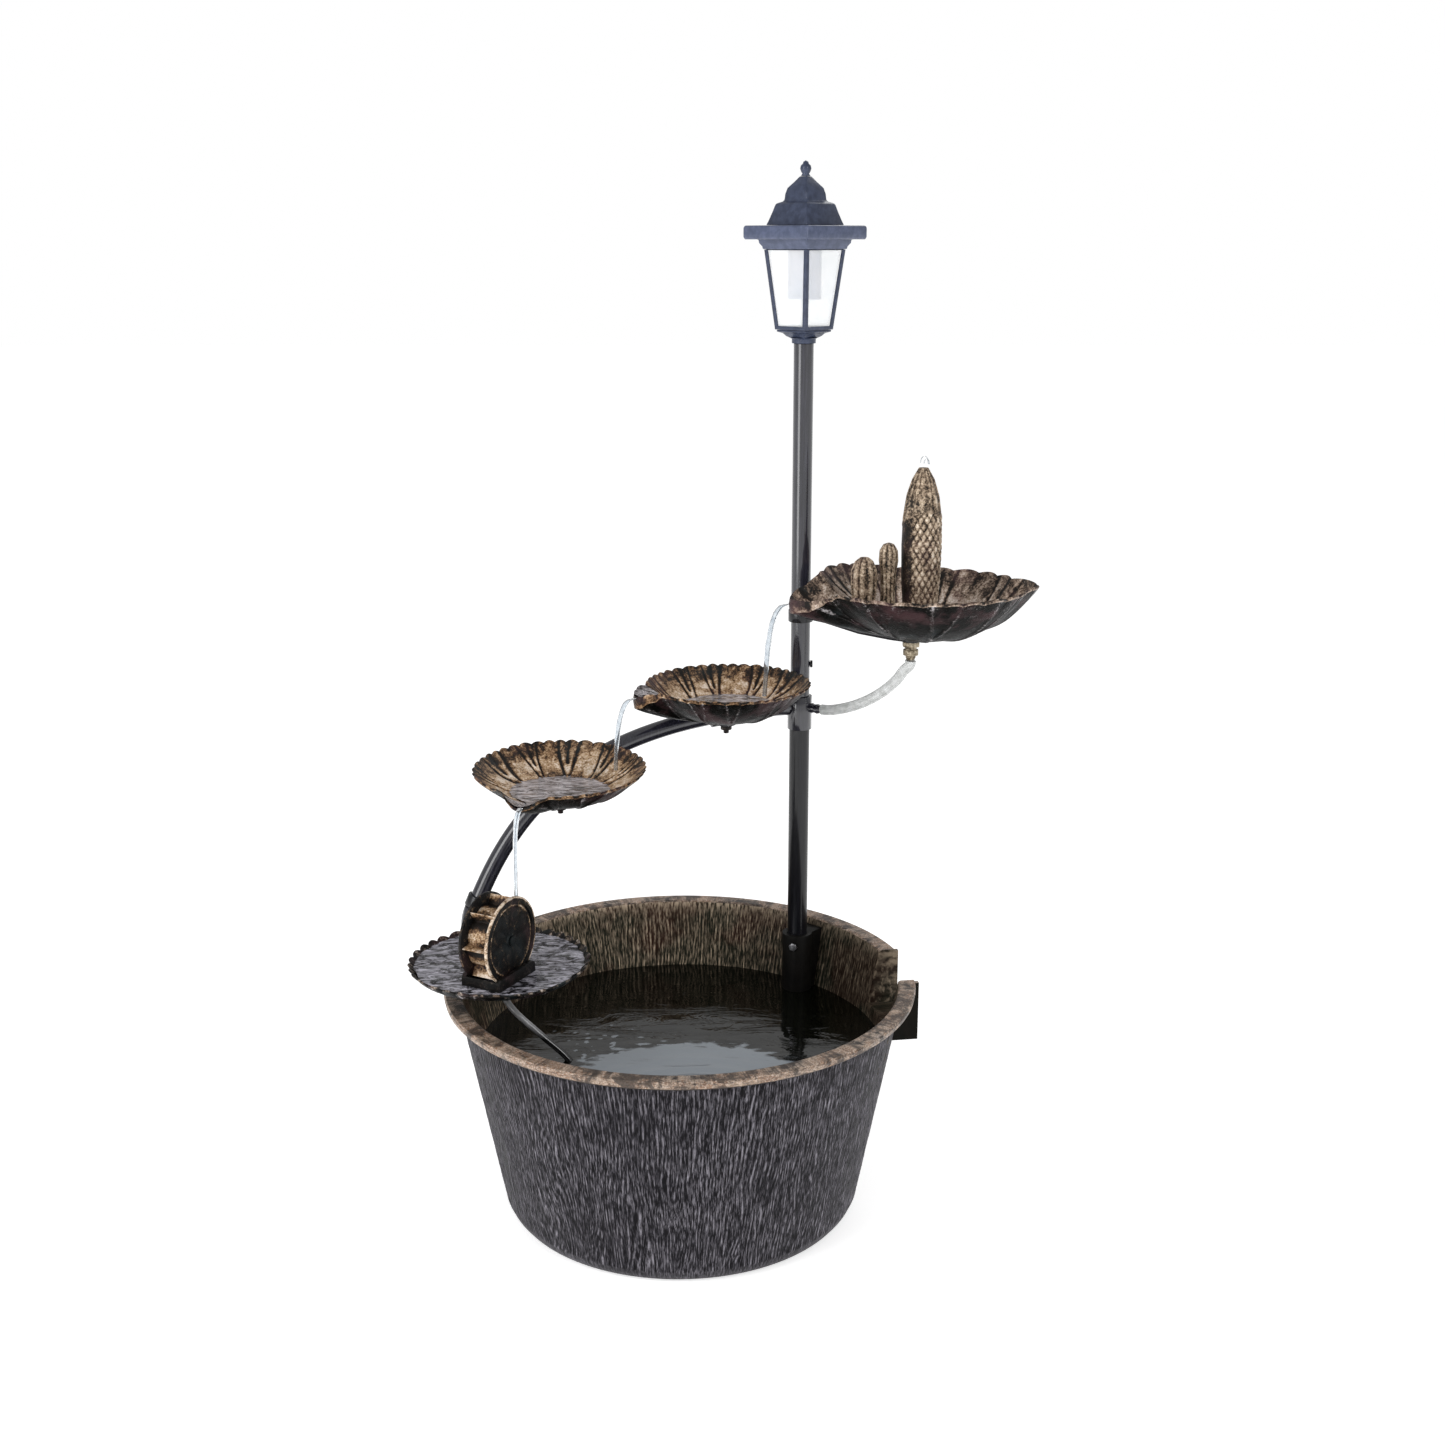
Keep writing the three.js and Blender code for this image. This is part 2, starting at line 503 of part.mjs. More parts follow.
// ---------------------------------------------------------------- ornaments on the top bowl
function buildOrnaments() {
  const leaf = BOWLS[0];
  const floorZ = leaf.rimZ - leaf.depth + 2.1;
  const cob = turned([[0, floorZ], [14, floorZ], [16, 545], [18, 575], [18.6, 605], [18, 630], [15, 650],
    [10.5, 664], [6, 672], [4.5, 674.5], [0, 674.5]], 20);
  const stemRoom = moved(disc(5.2, 520, 540, 16), -COB.offset, 0, 0);
  const from = vec(-COB.offset, 0, 538);
  const upward = vec(COB.offset, 0, 137);
  const waterway = aimed(disc(WATERWAY, 0, 150, 12), from, upward);
  addPiece("corn_spout", moved(cut(cob, stemRoom, waterway), leaf.x + COB.offset, leaf.y, 0), MAT.bronze);
  const peanut = turned([[0, 534], [6.5, 534], [7.6, 545], [6.6, 562], [7.2, 580], [9, 592], [8.4, 601],
    [5, 606.5], [0, 608]], 14);
  addPiece("tall_bud", moved(peanut, leaf.x - 22.5, leaf.y - 3, 0), MAT.bronze);
  const dome = turned([[0, 542], [8, 542], [10.5, 555], [12, 572], [11.8, 584], [8.5, 592], [4, 595.5],
    [0, 596]], 16);
  addPiece("fluted_bud", moved(dome, leaf.x - 44.5, leaf.y - 8, 0), MAT.bronze);
}

// ---------------------------------------------------------------- hoses
function hoseAlong(points, { radius, sides }, steps) {
  return tube(new THREE.CatmullRomCurve3(points, false, "centripetal"), radius, steps, sides);
}

function buildSupplyHose() {
  const along = (d, z) => vec(POST.x + feedAim.x * d, POST.y + feedAim.y * d, z);
  const reach = Math.hypot(BOWLS[0].x - POST.x, BOWLS[0].y - POST.y);
  const route = [[feedBarb.end + 0.6, 439.5], [33, 440.2], [45, 443.2], [58, 447.8], [71, 454],
    [83, 461.3], [94, 469.8], [103.5, 479], [111, 489], [reach - 0.6, 495], [reach, inlet.lowZ - 1]];
  addPiece("supply_hose", hoseAlong(route.map(([d, z]) => along(d, z)), HOSE, 30), MAT.clear);
  const clip = ringSolid(7, 5.4 + GAP, inlet.lowZ + 4.5, inlet.lowZ + 9.5, 16);
  addPiece("supply_hose_collar", moved(clip, BOWLS[0].x, BOWLS[0].y, 0), MAT.bronze);
}

function buildPumpHose(start) {
  const onward = (k) => start.clone().addScaledVector(outletAim, k);
  const route = [start, onward(10), onward(21), vec(-165, -12, 209), vec(-149, -33.9, 197.5),
    vec(-125.9, -35.8, 175.5),
    vec(-100.1, -38, 151), vec(-90.5, -39.4, 130), vec(-87, -40, 111),
    vec(PUMP.x, PUMP.outletY, 96), vec(PUMP.x, PUMP.outletY, PUMP.outletZ + GAP)];
  addPiece("pump_hose", hoseAlong(route, PUMP_HOSE, 34), MAT.rubber);
}

// ---------------------------------------------------------------- water wheel
const wheelAim = vec(Math.cos(WHEEL.azimuth * DEG), Math.sin(WHEEL.azimuth * DEG), 0);
const boreR = 2.9;
const axleR = 2.6;
const runningR = axleR + 0.08; // the axle turns in the cradle's rear cheek
const wheelFloorZ = BOWLS[3].rimZ - BOWLS[3].depth;

function onWheel(solid) {
  return aimed(solid, vec(WHEEL.x, WHEEL.y, WHEEL.z), wheelAim);
}

function bucketDrum() {
  const half = WHEEL.width / 2 - WHEEL.flange - GAP;
  const drum = disc(WHEEL.drumR, -half, half, 36);
  const vanes = Array.from({ length: WHEEL.buckets }, (_, i) => {
    const vane = block(WHEEL.drumR - 2, WHEEL.radius - 1.2, -1.2, 1.2, -half, half);
    return vane.rotate([0, 0, WHEEL.phase + (360 * i) / WHEEL.buckets]);
  });
  return cut(join(drum, ...vanes), disc(boreR, -half - 1, half + 1, 16));
}

function flangeDisc(side) {
  const face = (WHEEL.width / 2) * side;
  const back = face - WHEEL.flange * side;
  const [low, high] = side > 0 ? [back, face] : [face, back];
  const plateSolid = disc(WHEEL.radius, low, high, 40);
  const recess = side > 0 ? [high - 1.1, high + 1] : [low - 1, low + 1.1];
  const hollow = ringSolid(WHEEL.radius - 7, 9, ...recess, 40);
  return cut(plateSolid, hollow, disc(boreR, low - 1, high + 1, 16));
}

function cradle() {
  const { halfLength, height, chamfer, cheekThick, cheekFoot, cheekTop } = CRADLE;
  const baseZ = wheelFloorZ + 1.6;
  const clear = WHEEL.width / 2 + 1.2;
  const halfWidth = clear + cheekThick;
  const side = (sign) => [
    [sign * halfLength, baseZ],
    [sign * halfLength, baseZ + height - chamfer],
    [sign * (halfLength - chamfer), baseZ + height],
  ];
  const bed = uprightPlate([...side(1), ...side(-1).reverse()], -halfWidth, halfWidth).rotate([0, 0, -90]);
  const outline = [[-cheekFoot, baseZ], [cheekFoot, baseZ], [cheekFoot - 3, baseZ + 18],
    [cheekTop, WHEEL.z + 4],
    [cheekTop - 4, WHEEL.z + 7.5], [4 - cheekTop, WHEEL.z + 7.5], [-cheekTop, WHEEL.z + 4],
    [3 - cheekFoot, baseZ + 18]];
  const cheek = uprightPlate(outline, -halfWidth, -clear).rotate([0, 0, -90]);
  const sweep = disc(WHEEL.radius + 1.2, -clear, clear, 40).rotate([0, 90, 0]).translate([0, 0, WHEEL.z]);
  const bore = disc(runningR, -40, 40, 24).rotate([0, 90, 0]).translate([0, 0, WHEEL.z]);
  const body = cut(join(bed, cheek), sweep, bore);
  return moved(body, WHEEL.x, WHEEL.y, 0, WHEEL.azimuth);
}

function buildWheel() {
  addPiece("wheel_cradle", cradle(), MAT.bronze);
  addPiece("wheel_drum", onWheel(bucketDrum()), MAT.bronze);
  addPiece("wheel_front_disc", onWheel(flangeDisc(1)), MAT.bronze);
  addPiece("wheel_rear_disc", onWheel(flangeDisc(-1)), MAT.bronze);
  const rear = -(WHEEL.width / 2 + CRADLE.cheekThick + 3.5);
  const front = WHEEL.width / 2 + 2.2;
  const heads = join(disc(4.4, front - 1.8, front, 16), disc(4.4, rear, rear + 1.8, 16));
  addPiece("wheel_axle", onWheel(join(disc(axleR, rear, front, 24), heads)), MAT.bronze);
}

// ---------------------------------------------------------------- pump
function roundedPlan(halfX, halfY, corner) {
  const points = [];
  [[1, 1, 0], [-1, 1, 90], [-1, -1, 180], [1, -1, 270]].forEach(([sx, sy, from]) => {
    for (let k = 0; k <= 3; k++) {
      const angle = (from + k * 30) * DEG;
      points.push([sx * (halfX - corner) + corner * Math.cos(angle),
        sy * (halfY - corner) + corner * Math.sin(angle)]);
    }
  });
  return points;
}

function buildPump() {
  const { x, y, lowZ, highZ, halfX, halfY, outletY, outletZ } = PUMP;
  const at = (solid) => moved(solid, x, y, 0);
  const shell = plate(roundedPlan(halfX, halfY, 6), lowZ, highZ);
  const mouthZ = (lowZ + highZ) / 2;
  const chamber = aimed(join(disc(14.5, -60, 6, 28), disc(2.07, 5, 12, 24)), vec(0, 0, mouthZ), vec(0, 1, 0));
  const outlet = moved(join(disc(6.5, highZ - 1, highZ + 10, 20),
    moved(barbAlong(3, 0, outletZ - highZ - 8), 0, 0, highZ + 8)), 0, outletY - y, 0);
  const riser = moved(disc(WATERWAY, mouthZ, outletZ + 4, 12), 0, outletY - y, 0);
  addPiece("pump_housing", at(cut(join(shell, outlet), chamber, riser)), MAT.black);

  const front = -halfY - GAP;
  const cover = plate(roundedPlan(halfX, 5, 4), lowZ, highZ);
  const coverAt = moved(cover, 0, front - 5, 0);
  const slots = [-14, -7, 0, 7, 14].map((sx) =>
    block(sx - 1.5, sx + 1.5, front - 12, front - 3, lowZ + 6, highZ - 16));
  const dialHole = aimed(disc(6.09, -14, 2, 24), vec(0, front, highZ - 9), vec(0, 1, 0));
  const suction = aimed(disc(9, -4, 2, 20), vec(0, front, mouthZ), vec(0, 1, 0));
  addPiece("pump_strainer", at(cut(coverAt, ...slots, dialHole, suction)), MAT.black);

  const dial = join(disc(6, 0, 9, 24), block(-1.4, 1.4, -5.5, 5.5, 8.5, 12));
  addPiece("flow_dial", at(aimed(dial, vec(0, front - 1, highZ - 9), vec(0, -1, 0))), MAT.black);

  const vanes = [0, 60, 120].map((turn) => block(-12, 12, -1, 1, -20, -8).rotate([0, 0, turn]));
  const rotor = join(disc(7, -22, 4, 20), disc(2, 3, 11, 24), ...vanes);
  addPiece("pump_impeller", at(aimed(rotor, vec(0, 0, mouthZ), vec(0, 1, 0))), MAT.black);

  const cupOutline = [[0, TUB.wall + GAP], [8, TUB.wall + GAP], [5, TUB.wall + 3], [4, lowZ - 2],
    [0, lowZ - 2]];
  const cups = [[-1, -1], [1, -1], [-1, 1], [1, 1]].map(([sx, sy]) =>
    moved(turned(cupOutline, 16), sx * (halfX - 9), sy * (halfY - 9), 0));
  const foot = join(plate(roundedPlan(halfX - 2, halfY - 2, 5), lowZ - 3, lowZ - GAP), ...cups);
  addPiece("pump_foot", at(foot), MAT.rubber);

  const gland = aimed(join(disc(5.5, GAP, 5, 6), turned([[0, 4], [4.4, 4], [3.2, 16], [0, 16]], 16)),
    vec(0, halfY, highZ - 12), vec(0, 1, 0));
  addPiece("cable_gland", at(gland), MAT.rubber);
}

// ---------------------------------------------------------------- lantern
const lampAt = (solid) => moved(solid, POST.x, POST.y, 0);
const cageD = (z) => {
  const share = (z - LAMP.cageLowZ) / (LAMP.cageHighZ - LAMP.cageLowZ);
  return LAMP.cageLowD + share * (LAMP.cageHighD - LAMP.cageLowD);
};
const square = (profile) => turned(profile, 4);

function paneCutter(k) {
  const low = cageD(PANE.lowZ) / Math.SQRT2 - PANE.leg;
  const high = cageD(LAMP.cageHighZ) / Math.SQRT2 - PANE.leg;
  const outline = [[-low, PANE.lowZ + 0.7], [low, PANE.lowZ + 0.7], [high, LAMP.cageHighZ - 0.5],
    [-high, LAMP.cageHighZ - 0.5]];
  return uprightPlate(outline, 4, 60).rotate([0, 0, 45 + 90 * k]);
}

// A pane: a sloping plate just inside one wall of the cage.
function paneSolid(k) {
  const inset = (z) => cageD(z) / Math.SQRT2 - LAMP.wall - GAP;
  const row = (z) => {
    const outer = inset(z);
    const inner = outer - PANE.thick;
    const half = inner - 0.6;
    return [[-half, inner, z], [half, inner, z], [half, outer, z], [-half, outer, z]];
  };
  const corners = [...row(PANE.lowZ), ...row(PANE.highZ)].flat();
  const quads = [[0, 3, 2, 1], [4, 5, 6, 7], [0, 1, 5, 4], [1, 2, 6, 5], [2, 3, 7, 6], [3, 0, 4, 7]];
  const geometry = new THREE.BufferGeometry();
  geometry.setAttribute("position", new THREE.Float32BufferAttribute(corners, 3));
  geometry.setIndex(quads.flatMap(([a, b, c, d]) => [a, b, c, a, c, d]));
  return toSolid(geometry).rotate([0, 0, 45 + 90 * k]);
}

function buildLanternBody() {
  const { cageLowZ, cageHighZ, cageLowD, cageHighD, lipZ, lipD, wall } = LAMP;
  const skin = wall * Math.SQRT2;
  const flange = square([[0, 783.5], [11.5, 783.5], [16, 785.5], [19, 788], [24.5, 789.5],
    [24.5, cageLowZ - GAP], [0, cageLowZ - GAP]]);
  const collar = turned([[0, POST.topZ + GAP], [10.9, POST.topZ + GAP], [10.9, 783], [12, 784], [0, 784]],
    32);
  const spigot = disc(POST.upperR - POST.wall - GAP, 745, POST.topZ + 1);
  addPiece("lantern_neck", lampAt(join(flange, collar, spigot)), MAT.post);

  const outer = square([[0, cageLowZ], [cageLowD, cageLowZ], [cageHighD, cageHighZ], [lipD, cageHighZ],
    [lipD, lipZ], [0, lipZ]]);
  const hollow = square([[0, cageLowZ + 1.8], [cageD(cageLowZ + 1.8) - skin, cageLowZ + 1.8],
    [cageHighD - skin, cageHighZ], [lipD - 2.4, cageHighZ + 1], [lipD - 2.4, lipZ + 1], [0, lipZ + 1]]);
  addPiece("lantern_cage", lampAt(cut(outer, hollow, ...[0, 1, 2, 3].map(paneCutter))), MAT.post);
  [0, 1, 2, 3].forEach((k) =>
    addPiece(`lantern_pane_${k + 1}`, lampAt(cut(paneSolid(k), topTrim())), MAT.pane));
}

function topTrim() {
  return block(-60, 60, -60, 60, LAMP.cageHighZ - 0.6, 900);
}

function buildLanternTop() {
  const { halfDiagonal, lowZ, highZ, ledgeZ } = EAVE;
  const innerD = LAMP.lipD + 1;
  const ledge = square([[0, ledgeZ], [38, ledgeZ], [38.6, 864], [41.5, 867], [42, lowZ],
    [halfDiagonal - 1.5, lowZ], [halfDiagonal, lowZ + 1.5],
    [halfDiagonal, highZ - 1.5], [halfDiagonal - 1.5, highZ], [0, highZ]]);
  const recess = square([[0, ledgeZ - 1], [innerD, ledgeZ - 1], [innerD, LAMP.lipZ + GAP],
    [0, LAMP.lipZ + GAP]]);
  addPiece("lantern_eave", lampAt(cut(ledge, recess)), MAT.post);
  const roof = square([[0, highZ + GAP], [35, highZ + GAP], [33, 886], [29.8, 893], [27.2, 899.4],
    [25.8, 901], [20.8, 902.4],
    [18.9, 904], [18.3, 909], [16.4, 914], [10.4, 919.2], [5.4, 924], [0, 924]]);
  addPiece("lantern_roof", lampAt(roof), MAT.post);
  const finial = turned([[0, 924 + GAP], [4.4, 924 + GAP], [3, 926.2], [4.2, 928], [5, 930.6],
    [4.4, 933.2], [2.6, 934.8], [2.2, 936.4], [0, 937.6]], 20);
  addPiece("lantern_finial", lampAt(finial), MAT.post);
  addPiece("led_module", lampAt(disc(17, 861, LAMP.lipZ, 24)), MAT.led);
  const tubeProfile = [[0, 818], [15.6, 818], [15.6, 860.6], [14.2, 860.6], [14.2, 819.6], [0, 819.6]];
  addPiece("diffuser_tube", lampAt(turned(tubeProfile, 28)), MAT.pane);
}

// ---------------------------------------------------------------- assembly
buildTub();
buildSocket();
buildPost();
buildPumpHose(buildArm());
buildTopLeaf();
buildHubLeaf(2, 1);
buildHubLeaf(3, 4);
buildLowLeaf();
buildOrnaments();
buildSupplyHose();
buildWheel();
buildPump();
buildLanternBody();
buildLanternTop();

export default group;
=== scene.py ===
"""Looks of the tiered garden fountain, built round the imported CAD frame.

Blender works in metres, +Z up. Outlines and paths here are in mm and are scaled by MM.
"""

import json
import math

import bmesh
import bpy
import numpy as np
from mathutils import Matrix, Vector, noise


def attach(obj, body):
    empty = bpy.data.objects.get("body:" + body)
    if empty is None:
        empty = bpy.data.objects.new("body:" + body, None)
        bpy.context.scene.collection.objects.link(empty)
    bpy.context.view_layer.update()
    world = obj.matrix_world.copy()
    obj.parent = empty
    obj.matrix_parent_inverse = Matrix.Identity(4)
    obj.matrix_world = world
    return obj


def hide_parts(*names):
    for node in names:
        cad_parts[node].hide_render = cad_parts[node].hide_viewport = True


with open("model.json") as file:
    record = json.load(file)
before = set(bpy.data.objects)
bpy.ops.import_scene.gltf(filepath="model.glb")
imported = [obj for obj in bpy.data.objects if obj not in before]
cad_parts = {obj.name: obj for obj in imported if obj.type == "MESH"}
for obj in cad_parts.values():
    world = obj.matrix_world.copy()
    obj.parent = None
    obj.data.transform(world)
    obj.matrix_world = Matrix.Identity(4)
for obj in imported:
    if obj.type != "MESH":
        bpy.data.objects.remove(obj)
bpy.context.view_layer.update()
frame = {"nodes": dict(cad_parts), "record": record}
DEG = math.pi / 180
MM = 0.001


# ---------------- camera
def make_camera():
    data = bpy.data.cameras.new("camera")
    data.lens, data.sensor_width = 44.84, 36
    data.clip_start, data.clip_end = 0.01, 60
    cam = bpy.data.objects.new("camera", data)
    cam.location = (0.0386, -1.5349, 0.8693)
    cam.rotation_euler = (75 * DEG, 0, 0)
    bpy.context.scene.collection.objects.link(cam)
    bpy.context.scene.camera = cam


make_camera()


# ---------------- meshes
def new_object(name, verts, faces, material=None, smooth=40):
    mesh = bpy.data.meshes.new(name)
    mesh.from_pydata([tuple(v) for v in verts], [], [tuple(f) for f in faces])
    mesh.validate()
    obj = bpy.data.objects.new(name, mesh)
    bpy.context.scene.collection.objects.link(obj)
    if material:
        mesh.materials.append(material)
    shade(obj, smooth)
    return obj


def shade(obj, angle):
    """Smooth shading, with an edge kept sharp where it turns by more than the angle."""
    mesh = obj.data
    mesh.polygons.foreach_set("use_smooth", [True] * len(mesh.polygons))
    mesh.set_sharp_from_angle(angle=angle * DEG)
    mesh.update()


def set_value(obj, name, values):
    """A number for each vertex, which the material reads to lay on its highlights: worn ones, and painted
    light where it is set.
    """
    layer = obj.data.attributes.new(name, "FLOAT", "POINT")
    layer.data.foreach_set("value", np.asarray(values, np.float32))


def line_at(x, width):
    """The strength, 0 to 1, of a soft line of the given half width along x = 0."""
    return math.exp(-(x / width) ** 2)


def full_turn(count):
    """The angles of a full turn in equal steps."""
    return [2 * math.pi * i / count for i in range(count)]


def polar(r, angle, z, centre=(0, 0)):
    """A point at a distance and angle from an upright line through the centre."""
    return Vector((centre[0] + r * math.cos(angle), centre[1] + r * math.sin(angle), z))


def sweep_rings(rings, closed_profile=False):
    """Verts and quads of rings of equal length. Open profiles are capped with a fan at each end."""
    count, sides = len(rings), len(rings[0])
    verts = [p for ring in rings for p in ring]
    faces = []
    for r in range(count if closed_profile else count - 1):
        a, b = r * sides, ((r + 1) % count) * sides
        for i in range(sides):
            j = (i + 1) % sides
            faces.append((a + i, a + j, b + j, b + i))
    if not closed_profile:
        for ring, start in ((rings[0], 0), (rings[-1], (count - 1) * sides)):
            verts.append(sum((Vector(p) for p in ring), Vector()) / sides)
            hub = len(verts) - 1
            for i in range(sides):
                a, b = start + i, start + (i + 1) % sides
                faces.append((hub, b, a) if start == 0 else (hub, a, b))
    return verts, faces


def lathe(name, profile, at=(0, 0, 0), sides=64, material=None, relief=None, closed=False, smooth=40):
    """A turned piece. The profile is (radius, z), and relief(angle, r, z) moves the radius."""
    rings = []
    for r, z in profile:
        ring = []
        for angle in full_turn(sides):
            ring.append(polar(r + (relief(angle, r, z) if relief else 0), angle, z) * MM)
        rings.append(ring)
    verts, faces = sweep_rings(rings, closed)
    offset = Vector(at) * MM
    return new_object(name, [v + offset for v in verts], faces, material, smooth)


def resample(profile, step):
    """The same outline with points no further apart than step."""
    out = [profile[0]]
    for (r0, z0), (r1, z1) in zip(profile, profile[1:]):
        n = max(1, math.ceil(math.hypot(r1 - r0, z1 - z0) / step))
        out += [(r0 + (r1 - r0) * k / n, z0 + (z1 - z0) * k / n) for k in range(1, n + 1)]
    return out


def profile_r(profile, z):
    """The radius of an outline at a height."""
    for (r0, z0), (r1, z1) in zip(profile, profile[1:]):
        if z0 <= z <= z1:
            return r0 + (r1 - r0) * (z - z0) / (z1 - z0)
    return profile[-1][0]


def box_mesh(name, xs, ys, zs, turn):
    """A box between two values on each axis, turned about Z."""
    verts = [Vector((x, y, z)) * MM for z in zs for y in ys for x in xs]
    faces = [(0, 2, 3, 1), (4, 5, 7, 6), (0, 1, 5, 4), (2, 6, 7, 3), (0, 4, 6, 2), (1, 3, 7, 5)]
    obj = new_object(name, verts, faces)
    obj.data.transform(Matrix.Rotation(turn * DEG, 4, "Z"))
    return obj


def aim(obj, at_mm, direction):
    """Turns a piece built along +Z to run along a direction, and moves it there."""
    turn = Vector((0, 0, 1)).rotation_difference(Vector(direction).normalized())
    obj.data.transform(Matrix.Translation(Vector(at_mm) * MM) @ turn.to_matrix().to_4x4())
    obj.data.update()


def tube(name, path_mm, radius, sides, material):
    """A round bar along a path, its rings turned no more than the path bends."""
    points = [Vector(p) * MM for p in path_mm]
    rings, side = [], None
    for i, p in enumerate(points):
        ahead = (points[min(i + 1, len(points) - 1)] - points[max(i - 1, 0)]).normalized()
        if side is None:
            side = ahead.orthogonal().normalized()
        side = (side - ahead * side.dot(ahead)).normalized()
        up = ahead.cross(side)
        rings.append([p + (side * math.cos(a) + up * math.sin(a)) * radius * MM for a in full_turn(sides)])
    verts, faces = sweep_rings(rings)
    return new_object(name, verts, faces, material)


def catmull(points, per_span=6):
    """A smooth line through the points, with centripetal spacing."""
    p = [np.array(q, float) for q in points]
    p = [2 * p[0] - p[1]] + p + [2 * p[-1] - p[-2]]
    out = []
    for a, b, c, d in zip(p, p[1:], p[2:], p[3:]):
        t0 = 0
        t1 = t0 + math.sqrt(np.linalg.norm(b - a))
        t2 = t1 + math.sqrt(np.linalg.norm(c - b))
        t3 = t2 + math.sqrt(np.linalg.norm(d - c))
        for k in range(per_span):
            t = t1 + (t2 - t1) * k / per_span
            a1 = (t1 - t) / (t1 - t0) * a + (t - t0) / (t1 - t0) * b
            a2 = (t2 - t) / (t2 - t1) * b + (t - t1) / (t2 - t1) * c
            a3 = (t3 - t) / (t3 - t2) * c + (t - t2) / (t3 - t2) * d
            b1 = (t2 - t) / (t2 - t0) * a1 + (t - t0) / (t2 - t0) * a2
            b2 = (t3 - t) / (t3 - t1) * a2 + (t - t1) / (t3 - t1) * a3
            out.append((t2 - t) / (t2 - t1) * b1 + (t - t1) / (t2 - t1) * b2)
    return out + [p[-2]]


def bake_modifiers(obj):
    graph = bpy.context.evaluated_depsgraph_get()
    graph.update()
    done = bpy.data.meshes.new_from_object(obj.evaluated_get(graph))
    obj.modifiers.clear()
    obj.data = done


def cut_with(obj, tool, operation):
    mod = obj.modifiers.new("cut", "BOOLEAN")
    mod.object, mod.operation, mod.solver = tool, operation, "EXACT"
    bake_modifiers(obj)
    bpy.data.objects.remove(tool)


def show(obj, node):
    """Puts a piece on the body of the CAD node it stands for, in place of that node, which it hides."""
    home = next(b for b, names in frame["record"]["behaviour"]["bodies"].items() if node in names)
    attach(obj, home)
    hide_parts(node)


def softened(node, width, material, segments, merge):
    """A copy of a CAD node with its edges rounded, shown in its place. A pierced wall is not merged."""
    mesh = frame["nodes"][node].data.copy()
    mesh.materials.clear()
    obj = bpy.data.objects.new(node + "_look", mesh)
    bpy.context.scene.collection.objects.link(obj)
    bm = bmesh.new()
    bm.from_mesh(mesh)
    bmesh.ops.remove_doubles(bm, verts=bm.verts, dist=1e-5)
    if width and merge:
        bmesh.ops.dissolve_limit(bm, angle_limit=1.5 * DEG, verts=bm.verts, edges=bm.edges)
    bm.to_mesh(mesh)
    bm.free()
    if width:
        mod = obj.modifiers.new("bevel", "BEVEL")
        mod.width, mod.segments = width * MM, segments
        mod.limit_method, mod.angle_limit = "ANGLE", 30 * DEG
        mod.use_clamp_overlap = True
        bake_modifiers(obj)
    obj.data.materials.append(material)
    shade(obj, 35)
    show(obj, node)


def plain_nodes(names, width, material, segments=2, merge=True):
    for node in names:
        softened(node, width, material, segments, merge)


# ---------------- materials
def rgb(text):
    """A linear colour from an sRGB one such as "5a4531"."""
    def linear(v):
        return v / 12.92 if v <= 0.04045 else ((v + 0.055) / 1.055) ** 2.4
    return tuple(linear(int(text[i:i + 2], 16) / 255) for i in (0, 2, 4)) + (1,)


